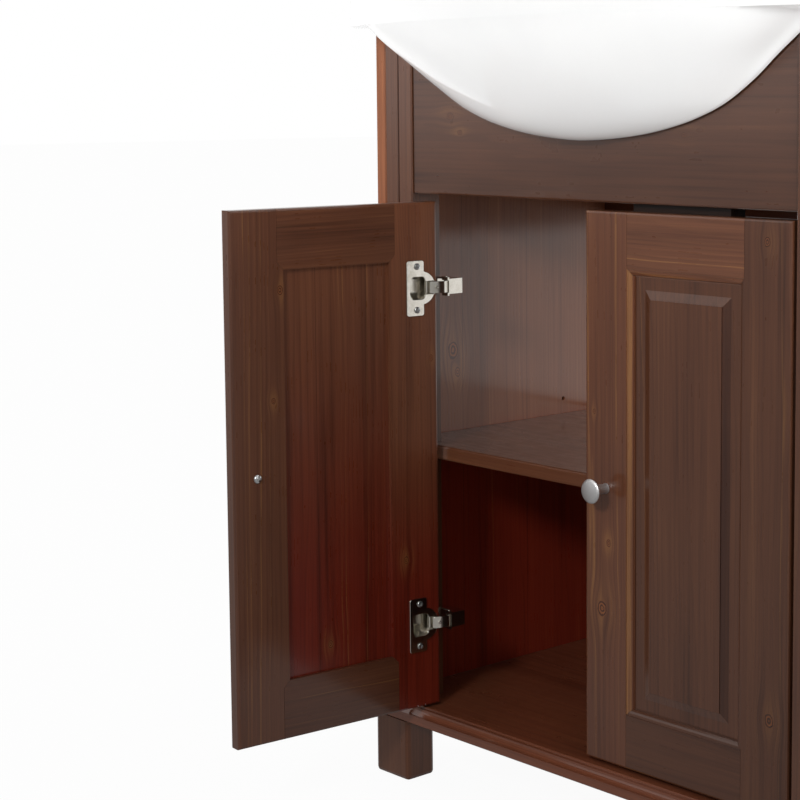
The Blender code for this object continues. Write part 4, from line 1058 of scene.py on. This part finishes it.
def knob(label, side):
    """Turned knob with a flat domed head, a soft rim and a plain neck."""
    front = -FIT
    tip = front - KNOB_OUT
    rim = tip + KNOB_RIM
    profile = [(0.0, front - KNOB_BORE), (KNOB_BORE_R, front - KNOB_BORE), (KNOB_BORE_R, front)]
    profile += [(NECK_R + a, front - b) for a, b in NECK_FOOT]
    profile += [(NECK_R + a, rim + b) for a, b in NECK_COVE]
    profile += [(KNOB_R - KNOB_BACK[0], rim + KNOB_BACK[1])]
    profile += arc(KNOB_R - KNOB_RIM_R, rim + KNOB_RIM_R, KNOB_RIM_R, 70.0, -50.0, 8)
    for i in range(1, CROWN_STEPS + 1):
        share = 1.0 - i / CROWN_STEPS
        profile.append((CROWN_R * share, tip + CROWN_FLAT + CROWN_FALL * share ** CROWN_POWER))
    bm = bmesh.new()
    turn_profile(bm, profile, 64, lambda a, b, v: door_spot(side, KNOB_U + a, v, KNOB_W + b))
    piece("turned_" + label + "_knob", bm, label + "_door", satin, label + "_knob", 50.0)


# Links: the strap, its eyes and the bends of its middle line from the cup pin, and the rivet's head as
# (radius, height)
LINK_T = 2.4
LINK_HALF = 6.5
EYE_R = 2.9
EYE_LAP = 24.0
LINK_ROLL = 0.3
LINK_BEND = ((2.2, -5.0), (4.6, -7.2), (16.5, -7.2), (20.6, -4.4))
RIVET_AT = 8.4
RIVET = ((0.0, -0.5), (2.1, -0.5), (2.1, 0.3), (1.85, 0.62), (1.3, 0.8), (0.75, 0.72), (0.0, 0.55))


def link_outline(length):
    """Outline of a link from the cup pin at zero to the arm pin, round both eyes."""
    middle = [(0.0, 0.0), *LINK_BEND, (length, 0.0)]
    sides = ([], [])
    for before, spot, after in zip(middle, middle[1:], middle[2:]):
        way = Vector((after[0] - before[0], after[1] - before[1])).normalized()
        for line, reach in zip(sides, (LINK_T / 2, -LINK_T / 2)):
            line.append((spot[0] - way[1] * reach, spot[1] + way[0] * reach))
    outline = list(sides[0])
    for centre, start, stop, line in ((middle[-1], sides[0][-1], sides[1][-1], sides[1][::-1]),
                                      (middle[0], sides[1][0], sides[0][0], [])):
        a = degrees(atan2(start[1] - centre[1], start[0] - centre[0])) - EYE_LAP
        b = degrees(atan2(stop[1] - centre[1], stop[0] - centre[0])) + EYE_LAP
        while b > a:
            b -= 360.0
        outline += arc(centre[0], centre[1], EYE_R, a, b, 24)
        outline += line
    return outline


def link(label, level, side, z, cup_pin):
    """Pressed hinge link with rolled edges, open eyes and a rivet head on its broad face."""
    arm = Vector((side * ARM_PIN[0], ARM_PIN[1]))
    pin = Vector(cup_pin)
    length = (arm - pin).length
    way = (arm - pin) / length
    out = Vector((way[1], -way[0])) if side < 0 else Vector((-way[1], way[0]))

    def place(a, b, h):
        spot = pin + way * a - out * b
        return set_out(spot[0], spot[1], z + h)

    eyes = [circle(0.0, 0.0, HINGE_PIN_R + FIT, 24), circle(length, 0.0, HINGE_PIN_R + FIT, 24)]
    bm = pressed_plate([link_outline(length)] + eyes, LINK_HALF * 2, LINK_ROLL)
    for vert in bm.verts:
        vert.co = place(*vert.co)
    face = -LINK_BEND[1][1] + LINK_T / 2
    turn_profile(bm, RIVET, 28, lambda a, b, h: place(RIVET_AT + a, -face - h, b))
    name = label + "_" + level + "_link"
    piece("pressed_" + name, bm, label + "_links", nickel, name, 40.0, True)


def panel(label, side, material):
    """Raised panel: a flat margin, a bevel and a crisp step up to the field."""
    edge = MARGIN + BEVEL_W
    steps = [(0.0, PANEL_BACK), (0.0, PANEL_FRONT), (MARGIN, PANEL_FRONT)]
    steps += [(edge, PANEL_FRONT - BEVEL_RISE), (edge, FIELD)]
    bm = bmesh.new()
    rings = []
    for step, depth in steps:
        near = FRAME_EDGE + step
        far = DOOR_W - near
        top = DOOR_H - near
        corners = ((near, near), (far, near), (far, top), (near, top))
        rings.append([bm.verts.new(door_spot(side, u, depth, w)) for u, w in corners])
    bm.faces.new(rings[0])
    bm.faces.new(rings[-1])
    for ring, following in zip(rings, rings[1:]):
        for i in range(4):
            j = (i + 1) % 4
            bm.faces.new((ring[i], ring[j], following[j], following[i]))
    bmesh.ops.remove_doubles(bm, verts=bm.verts, dist=0.000001)
    name = label + "_panel"
    piece("raised_" + name, bm, label + "_door", material, name, 8.0, True)


for label, side, cup_pin in (("left", -1, OPEN_PIN), ("right", 1, (-SHUT_PIN[0], SHUT_PIN[1]))):
    for level, z in zip(("lower", "upper"), HINGE_Z):
        cup(label, level, side, z - DOOR_Z)
        link(label, level, side, z, cup_pin)
    base = DOOR_T + FIT + FLANGE_T + FIT
    for level, z in zip(("lower", "upper"), HINGE_Z):
        for end, step in (("low", -1), ("high", 1)):
            name = label + "_" + level + "_cup_screw_" + end
            w = z - DOOR_Z + step * CUP_SCREW_PITCH / 2
            spin = radians(SCREW_SPIN[level] + SPIN_STEP * step)
            screw(label, name, side, CUP_SCREW_EDGE, w, base, CUP_SCREW, spin)
    screw(label, label + "_knob_screw", side, KNOB_U, KNOB_W, DOOR_T + FIT, KNOB_SCREW)
    knob(label, side)
panel("left", -1, left_panel_pine)
panel("right", 1, right_panel_pine)


# Stage: the floor's size and colours, and how much of it is seen as plain white
FLOOR_REACH = 30.0
FLOOR_PALE = ((0.87, 0.87, 0.87, 1.0), (0.90, 0.90, 0.90, 1.0))
FLOOR_BOUNCE = (0.42, 0.42, 0.42, 1.0)
FLOOR_SEEN = 0.95
FLOOR_MIRRORED = 0.85


def floor():
    """A wide pale floor that keeps part of the shadow. Mirrored, it is bright behind the object alone."""
    mesh = bpy.data.meshes.new("floor")
    reach = FLOOR_REACH
    corners = [(-reach, -reach, 0), (reach, -reach, 0), (reach, reach, 0), (-reach, reach, 0)]
    mesh.from_pydata(corners, [], [(0, 1, 2, 3)])
    item = placed("floor", mesh)
    web = Web(bpy.data.materials.new("floor_white"))
    rays = web.rays()
    pale = web.mix(web.noise(web.place(), 60.0, 3.0, 0.6), *FLOOR_PALE)
    lit = web.node("ShaderNodeBsdfDiffuse", Color=web.mix(rays["Is Diffuse Ray"], pale, FLOOR_BOUNCE))
    seen = web.math("MAXIMUM", rays["Is Camera Ray"], rays["Is Transmission Ray"])
    behind = web.between(web.parts(web.place())[1], -0.3, 0.4, 0.24, 0.95)
    strength = web.add(seen, web.times(web.less(1.0, seen), behind))
    glow = web.node("ShaderNodeEmission", Strength=strength)
    mirrored = web.times(rays["Is Glossy Ray"], FLOOR_MIRRORED)
    share = web.math("MAXIMUM", web.times(seen, FLOOR_SEEN), mirrored)
    web.surface(web.blend(share, lit, glow))
    mesh.materials.append(web.owner)


def light(name, place, aim, size, power, spread, shine=False):
    """Soft square lamp. Only one with shine is seen in lacquer, metal and glaze."""
    lamp = bpy.data.lights.new(name, "AREA")
    lamp.energy = power
    lamp.shape = "SQUARE"
    lamp.size = size
    lamp.spread = radians(spread)
    item = placed(name, lamp)
    item.location = place
    item.rotation_euler = (Vector(aim) - Vector(place)).to_track_quat("-Z", "Y").to_euler()
    item.visible_camera = False
    item.visible_glossy = shine


def surround(front, back, glossy):
    """A white backdrop behind the object and a dim room in front, with a pale screen to the left.

    The screen only shows in reflections. The camera sees plain white.
    """
    world = bpy.data.worlds.new("studio")
    bpy.context.scene.world = world
    web = Web(world, "ShaderNodeOutputWorld")
    rays = web.rays()
    way = web.parts(web.node("ShaderNodeTexCoord").outputs["Generated"])
    room = web.between(way[1], -0.35, 0.25, front, back)
    screen = web.between(way[0], 0.15, -0.25, 0.0, glossy)
    level = web.math("MAXIMUM", room, web.times(rays["Is Glossy Ray"], screen))
    fill = web.node("ShaderNodeBackground", Color=(1.0, 1.0, 1.0, 1.0), Strength=level)
    white = web.node("ShaderNodeBackground", Color=(1.0, 1.0, 1.0, 1.0), Strength=1.0)
    seen = web.math("MAXIMUM", rays["Is Camera Ray"], rays["Is Transmission Ray"])
    web.surface(web.blend(seen, fill, white))


# The camera, solved from the photograph's edges: its place, its angles in degrees, its lens and its shift
CAMERA_SPOT = (1.36448, -1.46077, 0.77107)
CAMERA_PAN = -47.353
CAMERA_TILT = -5.933
CAMERA_ROLL = -0.3615
CAMERA_LENS = 87.152
CAMERA_SHIFT = (-0.10, -0.125)


def camera():
    pan = radians(CAMERA_PAN)
    tilt = radians(CAMERA_TILT)
    roll = radians(CAMERA_ROLL)
    ahead = Vector((sin(pan) * cos(tilt), cos(pan) * cos(tilt), sin(tilt)))
    level = Vector((cos(pan), -sin(pan), 0.0))
    upright = level.cross(ahead)
    right = level * cos(roll) + upright * sin(roll)
    up = upright * cos(roll) - level * sin(roll)
    data = bpy.data.cameras.new("camera")
    data.lens = CAMERA_LENS
    data.sensor_width = 36.0
    data.shift_x, data.shift_y = CAMERA_SHIFT
    item = placed("camera", data)
    rows = [[right[i], up[i], -ahead[i], CAMERA_SPOT[i]] for i in range(3)]
    item.matrix_world = Matrix(rows + [[0.0, 0.0, 0.0, 1.0]])
    bpy.context.scene.camera = item


floor()
surround(0.50, 1.0, 1.0)
light("key", (0.566, -1.83, 1.35), (-0.05, -0.05, 0.72), size=0.30, power=4.8, spread=100.0, shine=True)
light("left_fill", (-1.20, -0.45, 0.45), (-0.20, -0.15, 0.82), size=0.40, power=0.98, spread=45.0)
light("right_fill", (1.25, -0.35, 0.12), (0.22, -0.15, 0.82), size=0.40, power=1.07, spread=45.0)
camera()
bpy.context.scene.view_settings.view_transform = "Standard"
